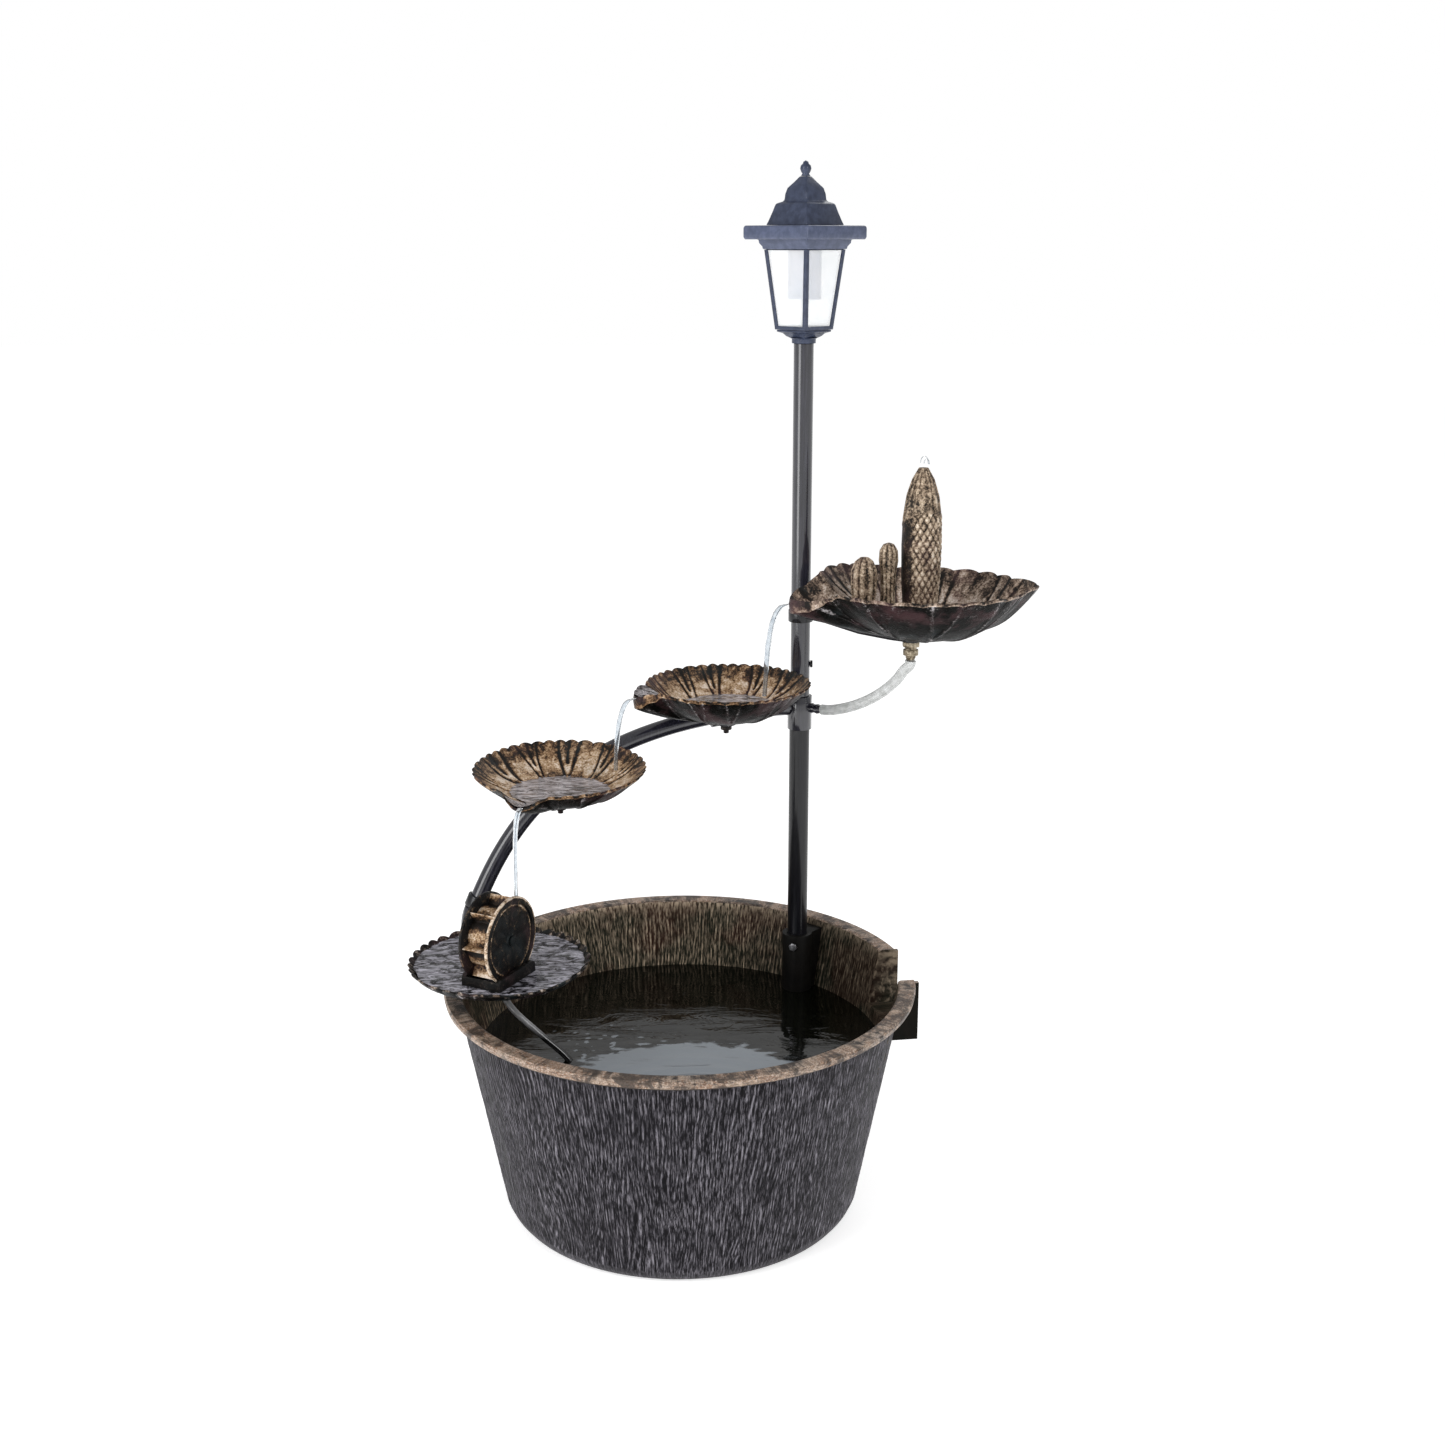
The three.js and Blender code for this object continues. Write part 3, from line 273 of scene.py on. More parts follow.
class Look:
    """A material and short ways to add nodes to it."""
    def __init__(self, name, roughness=0.5, metallic=0.0, **sockets):
        self.material = bpy.data.materials.new(name)
        self.material.use_nodes = True
        self.tree = self.material.node_tree
        self.shader = self.tree.nodes["Principled BSDF"]
        for key, value in {"Roughness": roughness, "Metallic": metallic, **sockets}.items():
            self.shader.inputs[key].default_value = value
        self.coords = self.add("ShaderNodeTexCoord").outputs["Object"]

    def add(self, kind, **settings):
        node = self.tree.nodes.new(kind)
        for key, value in settings.items():
            setattr(node, key, value)
        return node

    def put(self, socket, value):
        if isinstance(value, bpy.types.NodeSocket):
            self.tree.links.new(value, socket)
        else:
            socket.default_value = value

    def noise(self, scale, detail=4, rough=0.55, distort=0.0, vector=None):
        node = self.add("ShaderNodeTexNoise")
        self.put(node.inputs["Vector"], vector or self.coords)
        values = {"Scale": scale, "Detail": detail, "Roughness": rough, "Distortion": distort}
        for key, value in values.items():
            node.inputs[key].default_value = value
        return node.outputs["Fac"]

    def stretch(self, scale):
        node = self.add("ShaderNodeMapping")
        self.put(node.inputs["Vector"], self.coords)
        node.inputs["Scale"].default_value = scale
        return node.outputs["Vector"]

    def ramp(self, fac, *stops):
        """Colours or greys between stops of (place, value)."""
        node = self.add("ShaderNodeValToRGB")
        self.put(node.inputs["Fac"], fac)
        elements = node.color_ramp.elements
        while len(elements) < len(stops):
            elements.new(0.5)
        for element, (place, color) in zip(elements, stops):
            element.position = place
            element.color = color if isinstance(color, tuple) else (color, color, color, 1)
        return node.outputs["Color"]

    def mix(self, fac, a, b):
        node = self.add("ShaderNodeMix", data_type="RGBA")
        for socket, value in ((0, fac), (6, a), (7, b)):
            self.put(node.inputs[socket], value)
        return node.outputs[2]

    def math(self, how, a, b, clamp=False):
        node = self.add("ShaderNodeMath", operation=how, use_clamp=clamp)
        self.put(node.inputs[0], a)
        self.put(node.inputs[1], b)
        return node.outputs[0]

    def plus(self, a, b):
        return self.math("ADD", a, b)

    def times(self, a, b):
        return self.math("MULTIPLY", a, b)

    def value(self, name):
        return self.add("ShaderNodeAttribute", attribute_name=name).outputs["Fac"]

    def split(self, vector):
        parts = self.add("ShaderNodeSeparateXYZ")
        self.put(parts.inputs[0], vector)
        return parts.outputs

    def place(self, axis):
        """The position along an axis, 0 for X to 2 for Z."""
        return self.split(self.coords)[axis]

    def around(self, along):
        """Coordinates on a turned surface: the direction from the Z axis, and Z times along."""
        parts = self.split(self.coords)
        flat = self.add("ShaderNodeCombineXYZ")
        self.put(flat.inputs[0], parts[0])
        self.put(flat.inputs[1], parts[1])
        unit = self.add("ShaderNodeVectorMath", operation="NORMALIZE")
        self.put(unit.inputs[0], flat.outputs[0])
        turned = self.split(unit.outputs[0])
        out = self.add("ShaderNodeCombineXYZ")
        self.put(out.inputs[0], self.times(turned[0], 0.2))
        self.put(out.inputs[1], self.times(turned[1], 0.2))
        self.put(out.inputs[2], self.times(parts[2], along))
        return out.outputs[0]

    def glow(self, strength):
        self.shader.inputs["Emission Color"].default_value = (1, 1, 1, 1)
        self.shader.inputs["Emission Strength"].default_value = strength

    def finish(self, color, roughness=None, bump=None, strength=0.4, distance=0.001):
        self.put(self.shader.inputs["Base Color"], color)
        if roughness is not None:
            self.put(self.shader.inputs["Roughness"], roughness)
        if bump is not None:
            node = self.add("ShaderNodeBump")
            node.inputs["Strength"].default_value = strength
            node.inputs["Distance"].default_value = distance
            self.put(node.inputs["Height"], bump)
            self.put(self.shader.inputs["Normal"], node.outputs[0])
        return self.material


def barrel_look(name, dark, mid, light, amount, stain_and_shade=0.0):
    """Moulded wood grain: a dark ground with thin pale dry-brushed lines that run up the staves.

    A stain_and_shade share lays faint green and rust over the ground, and paints shade that deepens towards
    +X.
    """
    look = Look(name, 0.55, **{"Specular IOR Level": 0.06})
    line = look.value("grain")
    broken = look.noise(430, 3, 0.6, vector=look.around(0.3))
    fine = look.noise(1100, 3, 0.6, vector=look.around(0.1))
    patches = look.noise(13, 4, 0.6)
    brushed = look.times(line, look.ramp(broken, (0.4, 0.05), (0.6, 1.0)))
    dust = look.ramp(fine, (0.51, 0.0), (0.68, 0.75))
    lift = look.plus(brushed, look.times(dust, look.ramp(patches, (0.35, 0.3), (0.65, 0.9))))
    ground = look.mix(look.ramp(fine, (0.4, 0.0), (0.6, 1.0)), rgb(dark), rgb(mid))
    if stain_and_shade:
        clouds = look.ramp(look.noise(21, 3, 0.6), (0.45, 0.0), (0.6, 1.0))
        ground = look.mix(stain_and_shade, ground, look.mix(clouds, rgb("2c3327"), rgb("4c3026")))
    color = look.mix(look.math("MULTIPLY", lift, amount, clamp=True), ground, rgb(light))
    if stain_and_shade:
        # painted shade: the colour darkens towards +X
        color = look.mix(look.ramp(look.place(0), (0.05, 0.0), (0.15, 0.62)), color, rgb("0b0d08"))
    rough = look.ramp(lift, (0.0, 0.42), (0.8, 0.6))
    return look.finish(color, rough, look.plus(line, fine), 0.4, 0.0008)


def rim_look():
    """The worn lip: tan and pale grey brushed over dark brown, with knots left dark."""
    look = Look("rim_wood", 0.45)
    along = look.around(5.0)
    grain = look.plus(look.times(look.noise(75, 6, 0.75, 1.0, vector=along), 0.4),
                      look.times(look.noise(60, 6, 0.75, 0.8), 0.6))
    fine = look.noise(700, 4, 0.65)
    patches = look.noise(16, 5, 0.7)
    edge = look.value("grain")
    tone = look.ramp(patches, (0.36, rgb("857d79")), (0.47, rgb("97806c")), (0.56, rgb("80583a")),
                     (0.66, rgb("a58c75")))
    shine = look.mix(look.ramp(fine, (0.42, 0.0), (0.62, 1.0)), tone, rgb("c8b5a5"))
    worn = look.plus(look.plus(look.times(grain, 0.9), look.times(patches, 0.5)), look.times(edge, 0.4))
    color = look.mix(look.ramp(worn, (0.93, 0.0), (1.27, 1.0)), rgb("2a211b"), shine)
    flecks = look.ramp(look.noise(240, 5, 0.75, 0.5, vector=along), (0.42, 0.7), (0.52, 0.0))
    color = look.mix(flecks, color, rgb("33261c"))
    knots = look.ramp(look.noise(38, 6, 0.75, 0.4), (0.43, 0.85), (0.51, 0.0))
    color = look.mix(knots, color, rgb("2b2018"))
    return look.finish(color, 0.42, look.plus(grain, fine), 0.5, 0.0012)


def bronze_look(name, hollow="14100c", ground="3a2b1f", warm="7a5c42", gold="b39472", pale="dccbb8",
                lift=0.0, rosy=0.35, mottle=0.5, shine=0.2):
    """Cast resin in antique bronze: near black in the hollows and brushed gold on each ridge, and paler
    where the ridge value holds painted light.

    A higher lift is paler, rosy is the share of pink and blue-green patches, mottle that of blotches.
    """
    look = Look(name, 0.4, 0.1, **{"Specular IOR Level": shine})
    ridge = look.value("ridge")
    mottled = look.noise(105, 6, 0.7, 0.6)
    fine = look.noise(560, 4, 0.7)
    patches = look.noise(24, 4, 0.6)
    blotch = look.times(look.ramp(mottled, (0.36, 0.0), (0.64, 1.0)), mottle)
    speckle = look.ramp(fine, (0.4, 0.0), (0.62, 0.3))
    amount = look.plus(look.times(ridge, 0.42), look.plus(blotch, speckle))
    tones = ((0.22, hollow), (0.38, ground), (0.55, warm), (0.75, gold), (1.0, pale))
    color = look.ramp(amount, *((place - lift, rgb(tone)) for place, tone in tones))
    if rosy:
        pink = look.ramp(patches, (0.52, 0.0), (0.66, rosy))
        color = look.mix(pink, color, look.mix(0.6, color, rgb("7a585c")))
        blue = look.ramp(patches, (0.32, rosy), (0.45, 0.0))
        color = look.mix(blue, color, look.mix(0.6, color, rgb("39484c")))
    rough = look.ramp(amount, (0.4, 0.45), (0.8, 0.3))
    return look.finish(color, rough, look.plus(look.times(mottled, 0.9), look.times(fine, 0.6)), 0.6, 0.0014)


def paint_look(name, color, light, roughness=0.25, coat=0.9, along=(9, 9, 0.5)):
    """Sprayed slate paint with a clear shine, faint peel and brushed paler streaks."""
    look = Look(name, roughness, 0.0, **{"Coat Weight": coat, "Coat Roughness": 0.09, "Coat IOR": 1.7,
                                     "Specular IOR Level": 0.2})
    patches = look.noise(38, 4, 0.6)
    peel = look.noise(900, 2, 0.5)
    streaks = look.noise(70, 4, 0.65, vector=look.stretch(along))
    tone = look.mix(look.ramp(streaks, (0.4, 0.0), (0.7, 1.0)), rgb(color), rgb(light))
    rough = look.ramp(patches, (0.35, roughness), (0.7, roughness + 0.15))
    return look.finish(tone, rough, peel, 0.12, 0.0003)


def simple_look(name, color, other, roughness, metallic=0.0, scale=120, bump=0.1, **sockets):
    """One material in two close tones."""
    look = Look(name, roughness, metallic, **sockets)
    blend = look.noise(scale, 4, 0.6)
    tone = look.mix(look.ramp(blend, (0.35, 0.0), (0.7, 1.0)), rgb(color), rgb(other))
    return look.finish(tone, None, blend, bump, 0.0005)


def clear_hose():
    """Clear vinyl, wet in places."""
    look = Look("clear_vinyl", 0.18, **{"Transmission Weight": 0.3, "IOR": 1.35, "Coat Weight": 0.4})
    wet = look.noise(130, 3, 0.6)
    return look.finish(look.ramp(wet, (0.35, rgb("c6c8c6")), (0.7, rgb("f2f4f4"))), None, wet, 0.1, 0.0005)


def hose_with_painted_sheen():
    """Black hose with a painted grey sheen where it hangs in the air, black towards the water."""
    look = Look("black_hose", 0.25, **{"Coat Weight": 0.8})
    blend = look.noise(200, 4, 0.6)
    # painted highlight: a grey sheen on the hose above the water
    painted_sheen_grey = look.mix(blend, rgb("77777a"), rgb("bdbdbf"))
    below_sheen = look.ramp(look.place(2), (0.172, 1.0), (0.186, 0.0))
    return look.finish(look.mix(below_sheen, painted_sheen_grey, rgb("161618")), None, blend, 0.1, 0.0005)


def pane_look():
    """Clear frosted plastic that lets the ribbed diffuser show as a soft shade, with a faint even glow of
    painted light.
    """
    look = Look("frosted_pane", 0.4, **{"Alpha": 0.34})
    # painted light: the panes glow faintly, though the LED itself does not
    look.glow(0.17)
    cloud = look.noise(35, 3, 0.5)
    color = look.ramp(cloud, (0.3, rgb("f4f8f9")), (0.7, rgb("ffffff")))
    return look.finish(color, None, cloud, 0.05, 0.0003)


BARREL = barrel_look("barrel_wood", "0c0b0e", "1c1a1f", "a5a1aa", 0.68)
BARREL_IN = barrel_look("barrel_inside", "070504", "15100c", "e0c9ae", 0.9, 0.4)
BARREL_DARK = barrel_look("barrel_shade", "070706", "100e0c", "3a342f", 0.3, 0.08)
RIM = rim_look()
BRONZE = bronze_look("antique_bronze", lift=0.03, gold="bb9c78", pale="eadaca")
# The leaves' undersides: less gold than their tops, and darkened further as painted shade.
LEAF_OUT = bronze_look("leaf_underside", "040403", "080706", "100f0d", "5c5757", "a5a1a3", -0.14, 0.4,
                       shine=0.05)
BRONZE_DARK = bronze_look("dark_bronze", "080706", "110f0d", "2b2420", "77675a", "b9aea4", -0.12, 0.4)
CORN = bronze_look("corn_bronze", "120e0a", "3a3026", "85725f", "c7b39b", "f3e7d6", 0.0, 0.2, 0.34)
LEAF_GREY = bronze_look("greyed_bronze", "14100d", "3b3029", "786658", "b7a290", "e8dcd2", 0.06, 0.5)
BRASS = bronze_look("dull_brass", "4a4032", "7d705d", "a79a83", "c5b9a2", "ded5c3", 0.1, 0)
WHEEL_DISC = bronze_look("wheel_disc_bronze", "080808", "131312", "4a3c2e", "b99c7c", "e6d5c2", -0.14, 0.3)
POST = paint_look("post_paint", "181820", "2e2e39")
POST_LOW = paint_look("post_shade", "0c0c10", "17171d", 0.3, 0.3)
LAMP = paint_look("lamp_paint", "30374a", "41495f", 0.35, 0.2, (2, 2, 2))
# A lighter copy of the lamp paint: painted light on the eave band.
EAVE = paint_look("lamp_paint_lit_eave", "464e65", "5b637d", 0.35, 0.3, (2, 2, 2))
SOCKET = simple_look("socket_black", "0b0a09", "161412", 0.5, scale=90, **{"Specular IOR Level": 0.15})
STEEL = simple_look("steel", "b3b3b6", "8d8d92", 0.3, 0.95)
PUMP = simple_look("pump_black", "151618", "1d1e20", 0.45, bump=0.15, scale=700)
RUBBER = simple_look("rubber_black", "161616", "222222", 0.7, bump=0.2, scale=500)
CLEAR = clear_hose()
BLACK_HOSE = hose_with_painted_sheen()
PANE = pane_look()
DIFFUSER = simple_look("diffuser_ribbed", "6f7690", "9aa2bb", 0.4, scale=60)
LED = simple_look("led_module", "f3edd0", "e8dfb8", 0.4)


# ---------------- post and arm
POST_AT = Vector((112.3, 130, 0))
ARM_WAY = Vector((math.cos(194 * DEG), math.sin(194 * DEG), 0))
ARM_Z = 439.5
ELBOW_REACH, ELBOW_Z, ELBOW_LEAN = 316, 263, 23 * DEG


def make_post():
    for node, radius, low, high, paint in (("lower_post", 9.6, 146, 417.7, POST_LOW),
                                           ("upper_post", 9.1, 450.3, 779, POST)):
        inner = radius - 1.5
        outline = [(inner, low), (radius - 0.3, low), (radius, low + 0.3),
                   (radius, high - 0.3), (radius - 0.3, high), (inner, high)]
        show(lathe(node + "_look", resample(outline, 30), POST_AT, 64, paint, closed=True), node)


def arm_point(reach, z):
    """A point of the arm's upright plane, at a distance from the post's axis and a height."""
    return POST_AT + ARM_WAY * reach + Vector((0, 0, z))


def arm_line(steps=60):
    """One bend: level out of the post, then leaning down into the elbow."""
    before_elbow = arm_point(ELBOW_REACH - 84 * math.sin(ELBOW_LEAN), ELBOW_Z + 84 * math.cos(ELBOW_LEAN))
    a, b, c, d = arm_point(12, ARM_Z), arm_point(227, ARM_Z), before_elbow, arm_point(ELBOW_REACH, ELBOW_Z)
    return [(1 - t) ** 3 * a + 3 * (1 - t) ** 2 * t * b + 3 * (1 - t) * t * t * c + t ** 3 * d
            for t in (k / steps for k in range(steps + 1))]


def make_hose(name, node, route, radius, material):
    line = catmull(route)
    obj = tube(name, line, radius, 20, material)
    show(obj, node)


def supply_route():
    """From the coupler's barb in a rising curve to the inlet under the top bowl."""
    ahead = Vector((LEAVES[1]["x"], LEAVES[1]["y"], 0)) - POST_AT
    reach = ahead.length
    ahead.normalize()
    line = [(24.6, ARM_Z), (33, 440.2), (45, 443.2), (58, 447.8), (71, 454), (83, 461.3), (94, 469.8),
            (103.5, 479), (111, 489), (reach - 0.6, 495), (reach, 499)]
    return [POST_AT + ahead * d + Vector((0, 0, z)) for d, z in line]


def elbow_outlet():
    """Where the elbow's barb ends and which way it points."""
    down = (ARM_WAY * math.sin(ELBOW_LEAN) + Vector((0, 0, -math.cos(ELBOW_LEAN)))).normalized()
    away = Vector((0.42, -0.7, -0.58)).normalized()
    return arm_point(ELBOW_REACH, ELBOW_Z) + down * 17.3 + away * (17 + 13.3), away


def pump_route():
    """From the elbow's barb, past bowl 4 and down through the water to the pump's outlet."""
    start, away = elbow_outlet()
    return [start, start + away * 10, start + away * 21, (-165, -12, 209), (-149, -33.9, 197.5),
            (-125.9, -35.8, 175.5), (-100.1, -38, 151), (-90.5, -39.4, 130), (-87, -40, 111), (-86, -40, 96),
            (-86, -40, 84.3)]


# ---------------- tub
TUB_OUT = [(150, 0), (158, 2.5), (162, 7.5), (165, 14), (202.5, 206.5)]
TUB_RIM = [(211, 207.5), (214, 210), (214.8, 214), (213.6, 216), (201.5, 216), (199.6, 215.2)]
TUB_IN = [(199.2, 214.5), (160.4, 15), (157, 8.5), (148, 5)]
SLOPE = (202.5 - 165) / (206.5 - 14)
TUB_SIDES = 1440
CHUTE_AZIMUTH = 8.5
GRAIN_R, GRAIN_STEP = 185, 3.4  # the radius at which the lines are one step apart


def wall_r(z):
    """Radius of the tub's outer wall at a height."""
    return 165 + (z - 14) * SLOPE


def grain(angle, z):
    """Moulded wood grain, 0 to 1: thin lines up the wall that part and close round knots, as contours do."""
    sway = 3.6 * noise.noise(polar(5, angle, z * 0.013))
    sway += 0.7 * noise.noise(polar(20, angle, z * 0.03))
    sway *= 1.7 - 0.9 * min(1, z / 160)
    wave = math.cos(2 * math.pi * (angle * GRAIN_R / GRAIN_STEP + sway))
    cuts = noise.noise(polar(70, angle, z * 0.05))
    return max(0.0, wave) ** 1.6 * min(1.0, max(0.0, 0.62 + 1.7 * cuts))


def wood_relief(angle, r, z):
    """Depth of the grain's grooves, under half a millimetre."""
    if z < 16 or z > 205 or r < 150:
        return 0
    return -0.4 * (1 - grain(angle, z))


def make_tub():
    """The turned tub, with a block outside its wall and a channel cut through both as an open chute."""
    base = [(r, 0) for r in (30, 60, 90, 120)]
    outline = base + resample(TUB_OUT, 2.4) + resample(TUB_RIM, 2) + resample(TUB_IN, 6) + [(60, 5)]
    tub = lathe("barrel_tub_look", outline, sides=TUB_SIDES, material=BARREL, relief=wood_relief)
    block = box_mesh("chute_block", (150, 214.2), (-41.5, 41.5), (159, 214.5), CHUTE_AZIMUTH)
    hollow = [(160 + 5 * SLOPE, 20), (160 + (276 - 14) * SLOPE, 276)]
    cut_with(block, lathe("hollow", hollow, sides=420), "DIFFERENCE")
    cut_with(tub, block, "UNION")
    cut_with(tub, box_mesh("channel", (140, 240), (-37, 37), (162.5, 240), CHUTE_AZIMUTH), "DIFFERENCE")
    shade(tub, 38)
    set_value(tub, "grain", [grain_and_inner_shade(v.co * 1000) for v in tub.data.vertices])
    split_tub_materials(tub)
    show(tub, "barrel_tub")


def grain_and_inner_shade(p):
    """Grain on the walls, with painted light and shade on the inner wall, and how worn each edge of the rim
    is.
    """
    angle, r = math.atan2(p.y, p.x), math.hypot(p.x, p.y)
    if p.z > 206:
        return (0.85 if r > 209 else 0.75) if p.z > 209 else 0.35
    if p.z < 12:
        return 0.2
    if r > wall_r(p.z) - 1.5:
        return grain(angle, p.z)
    # painted light and shade: the inner wall's lines are full at the back (+Y), 0.6 at the sides and 0.2 at
    # the front
    return grain(angle, p.z) * (0.6 + 0.4 * math.sin(angle))


def split_tub_materials(tub):
    """Grained outside, darker inside, a lighter worn rim and a shaded chute under it."""
    outside, inside, rim, chute = range(4)
    mesh = tub.data
    mesh.materials.clear()
    for material in (BARREL, BARREL_IN, RIM, BARREL_DARK):
        mesh.materials.append(material)
    for face in mesh.polygons:
        c, n = face.center * 1000, face.normal
        r = math.hypot(c.x, c.y)
        out = (c.x * n.x + c.y * n.y) / max(r, 1)
        on_chute = c.x > 170 and r > wall_r(c.z) - 5.4 and c.z > 158 and out < 0.9
        if c.z > 206.3 and (r > 209 or n.z > 0.3):
            face.material_index = rim
        elif 158 < c.z < 206.4 and r > wall_r(c.z) + 1.5:
            face.material_index = chute
        elif (out < 0.2 and c.z > 4) or on_chute:
            face.material_index = inside
        else:
            face.material_index = outside


# ---------------- leaf bowls
# Angles in degrees from the spout. a and b are the oval's half axes and shift moves it from the centre.
# power and lean shape the wall, skirt deepens the lip of the spout, tip_out draws out the far end,
# notch and shine set how deep and how bright the lobes of the edge are, a worn edge with a painted
# highlight.
PLAIN_LEAF = dict(shift=0, power=2.6, lean=0, thick=2.6, tilt=0, skirt=0, tip_out=0, rise=0, rise_at=0,
                  rise_half=1, scallop=2.4, relief=1.6, notch=0.45, shine=0.75)
LEAVES = {
    1: dict(PLAIN_LEAF, x=210, y=65, rim_z=568.5, a=94, b=88, shift=9, depth=45, lean=0.8, thick=3,
            spout_az=182.5, spout_out=27, spout_half=17, spout_drop=14, drop_half=(19, 34), skirt=10,
            tip_out=11, rise=9, rise_at=-37, rise_half=58, scallops=26, petals=9, relief=1.9),
    2: dict(PLAIN_LEAF, x=42, y=70, rim_z=476.5, a=74, b=73.5, shift=2, depth=32, skirt=9, scallops=40,
            spout_az=197, spout_out=16, spout_half=19, spout_drop=5, drop_half=(20, 20), petals=11),
    3: dict(PLAIN_LEAF, x=-106.6, y=3, rim_z=415.3, a=75, b=75.5, depth=27, tilt=3, scallops=40,
            spout_az=250, spout_out=9, spout_half=16, spout_drop=9, drop_half=(18, 18), petals=11),
    4: dict(PLAIN_LEAF, x=-160.4, y=-38.5, rim_z=249, a=79.7, b=79.7, depth=8, power=12,
            spout_az=300, spout_out=0, spout_half=20, spout_drop=1.5, drop_half=(30, 30), scallops=34,
            scallop=3.4, petals=12, relief=0.8, notch=0.85, shine=1.5),
}
MEAN_REACH = 75
TOP, UNDER, EDGE = 0, 1, 2


def hump(angle, half):
    """A rounded hump about angle 0, 1 at its top and 0 from half on."""
    away = abs(((angle + 540) % 360) - 180) / half
    return 0 if away >= 1 else (0.5 + 0.5 * math.cos(math.pi * away)) ** 0.7


def rim_reach(leaf, angle):
    """Radius of the rim: the root of the shifted oval's quadratic, drawn out at the spout and the tip."""
    c, s = math.cos(angle * DEG), math.sin(angle * DEG)
    a, b, shift = leaf["a"], leaf["b"], leaf["shift"]
    k2 = (c / a) ** 2 + (s / b) ** 2
    k1 = shift * c / a ** 2
    k0 = (shift / a) ** 2 - 1
    oval = (-k1 + math.sqrt(k1 * k1 - k2 * k0)) / k2
    spout = leaf["spout_out"] * hump(angle, leaf["spout_half"])
    return oval + spout + leaf["tip_out"] * hump(angle - 180, 16)


def rim_level(leaf, angle):
    """Height of the rim over rim_z: a rise on one side and a dip at the spout."""
    side = 0 if ((angle + 540) % 360) - 180 < 0 else 1
    dip = leaf["spout_drop"] * hump(angle, leaf["drop_half"][side])
    return leaf["rise"] * hump(angle - leaf["rise_at"], leaf["rise_half"]) - dip


def wall_level(leaf, t, angle):
    """Height of the smooth wall over rim_z at a share t of the way out."""
    power = leaf["power"] - leaf["lean"] * math.cos(angle * DEG)
    return -leaf["depth"] + (rim_level(leaf, angle) + leaf["depth"]) * t ** power


def petal(leaf, angle, t):
    """Cast ribs and grooves, 0 to 1: a groove on each side of a vein that forks in two towards the rim."""
    width = 360 / leaf["petals"]
    angle += 9 * noise.noise(polar(2.2, angle * DEG, t * 1.6 + leaf["x"]))
    across = ((angle / width + 0.5) % 1) * 2 - 1
    wide = max(t, 0.2) * width * 0.5 * DEG * MEAN_REACH
    fork = 0.42 * max(0.0, (t - 0.55) / 0.45) ** 0.9
    vein = line_at((abs(across) - fork) * wide, 1.5)
    beside = line_at((abs(across) - fork - 2.6 / wide) * wide, 1.3)
    inside = line_at(across * wide, 1.6) if t > 0.72 else 0
    fade = min(1, max(0, (t - 0.25) / 0.2))
    return min(1, vein) * fade, min(1, max(beside, inside)) * fade


def scallop(leaf, angle):
    """Rounded lobes of the serrated edge, 0 in a notch and 1 on a lobe."""
    uneven = 0.6 * math.sin(3 * angle * DEG) + 0.5 * math.sin(7 * angle * DEG)
    wave = abs(math.sin(leaf["scallops"] * angle * DEG / 2 + uneven))
    near_spout = 1 - hump(angle, leaf["spout_half"] * 0.7) if leaf["spout_out"] else 1
    return (wave ** 0.7) * near_spout


def leaf_surface(leaf, skin, t, angle):
    """A point of the upper or lower skin at a share t of the way out, and how light it is painted: worn
    ribs, a pale band and a painted highlight on the lobes of the edge.
    """
    c, s = math.cos(angle * DEG), math.sin(angle * DEG)
    lobe = scallop(leaf, angle)
    edge = max(0, (t - 0.82) / 0.18)
    inner = min(1, 4 * (1 - t))
    r = t * (rim_reach(leaf, angle) + (lobe - leaf["notch"]) * leaf["scallop"] * edge)
    z = wall_level(leaf, t, angle) + (lobe - 0.3) * leaf["scallop"] * 0.75 * edge
    ribs, groove = petal(leaf, angle + (0 if skin == TOP else 180 / leaf["petals"]), t)
    wobble = noise.noise(Vector((c * t * 6, s * t * 6, leaf["x"] * 0.1 + skin * 9)))
    if skin == TOP:
        z += (ribs * 0.5 - groove) * leaf["relief"] * inner + wobble * 0.5
        blob = 0.95 * math.exp(-((t - 0.72) / 0.15) ** 2) * (1 - groove)
        # the lobes of the edge: worn bronze with a painted highlight, strongest where shine is high
        worn = blob - groove * 0.9 - edge * (0.55 - leaf["shine"] * lobe) + 0.25 * ribs
    else:
        drop = leaf["thick"] + leaf["skirt"] * hump(angle, leaf["spout_half"] * 1.3) * t ** 3
        z -= drop + ribs * leaf["relief"] * 0.8 * inner - wobble * 0.5
        # the underside's lobes also get a painted highlight
        worn = ribs * 0.75 + edge * lobe * 0.5
    return (r * c, r * s, z), worn


def leaf_place(leaf):
    """How a bowl built about its own centre stands in the frame, in mm."""
    return (Matrix.Translation(Vector((leaf["x"], leaf["y"], leaf["rim_z"])))
            @ Matrix.Rotation(leaf["tilt"] * DEG, 4, "X") @ Matrix.Rotation(leaf["spout_az"] * DEG, 4, "Z"))


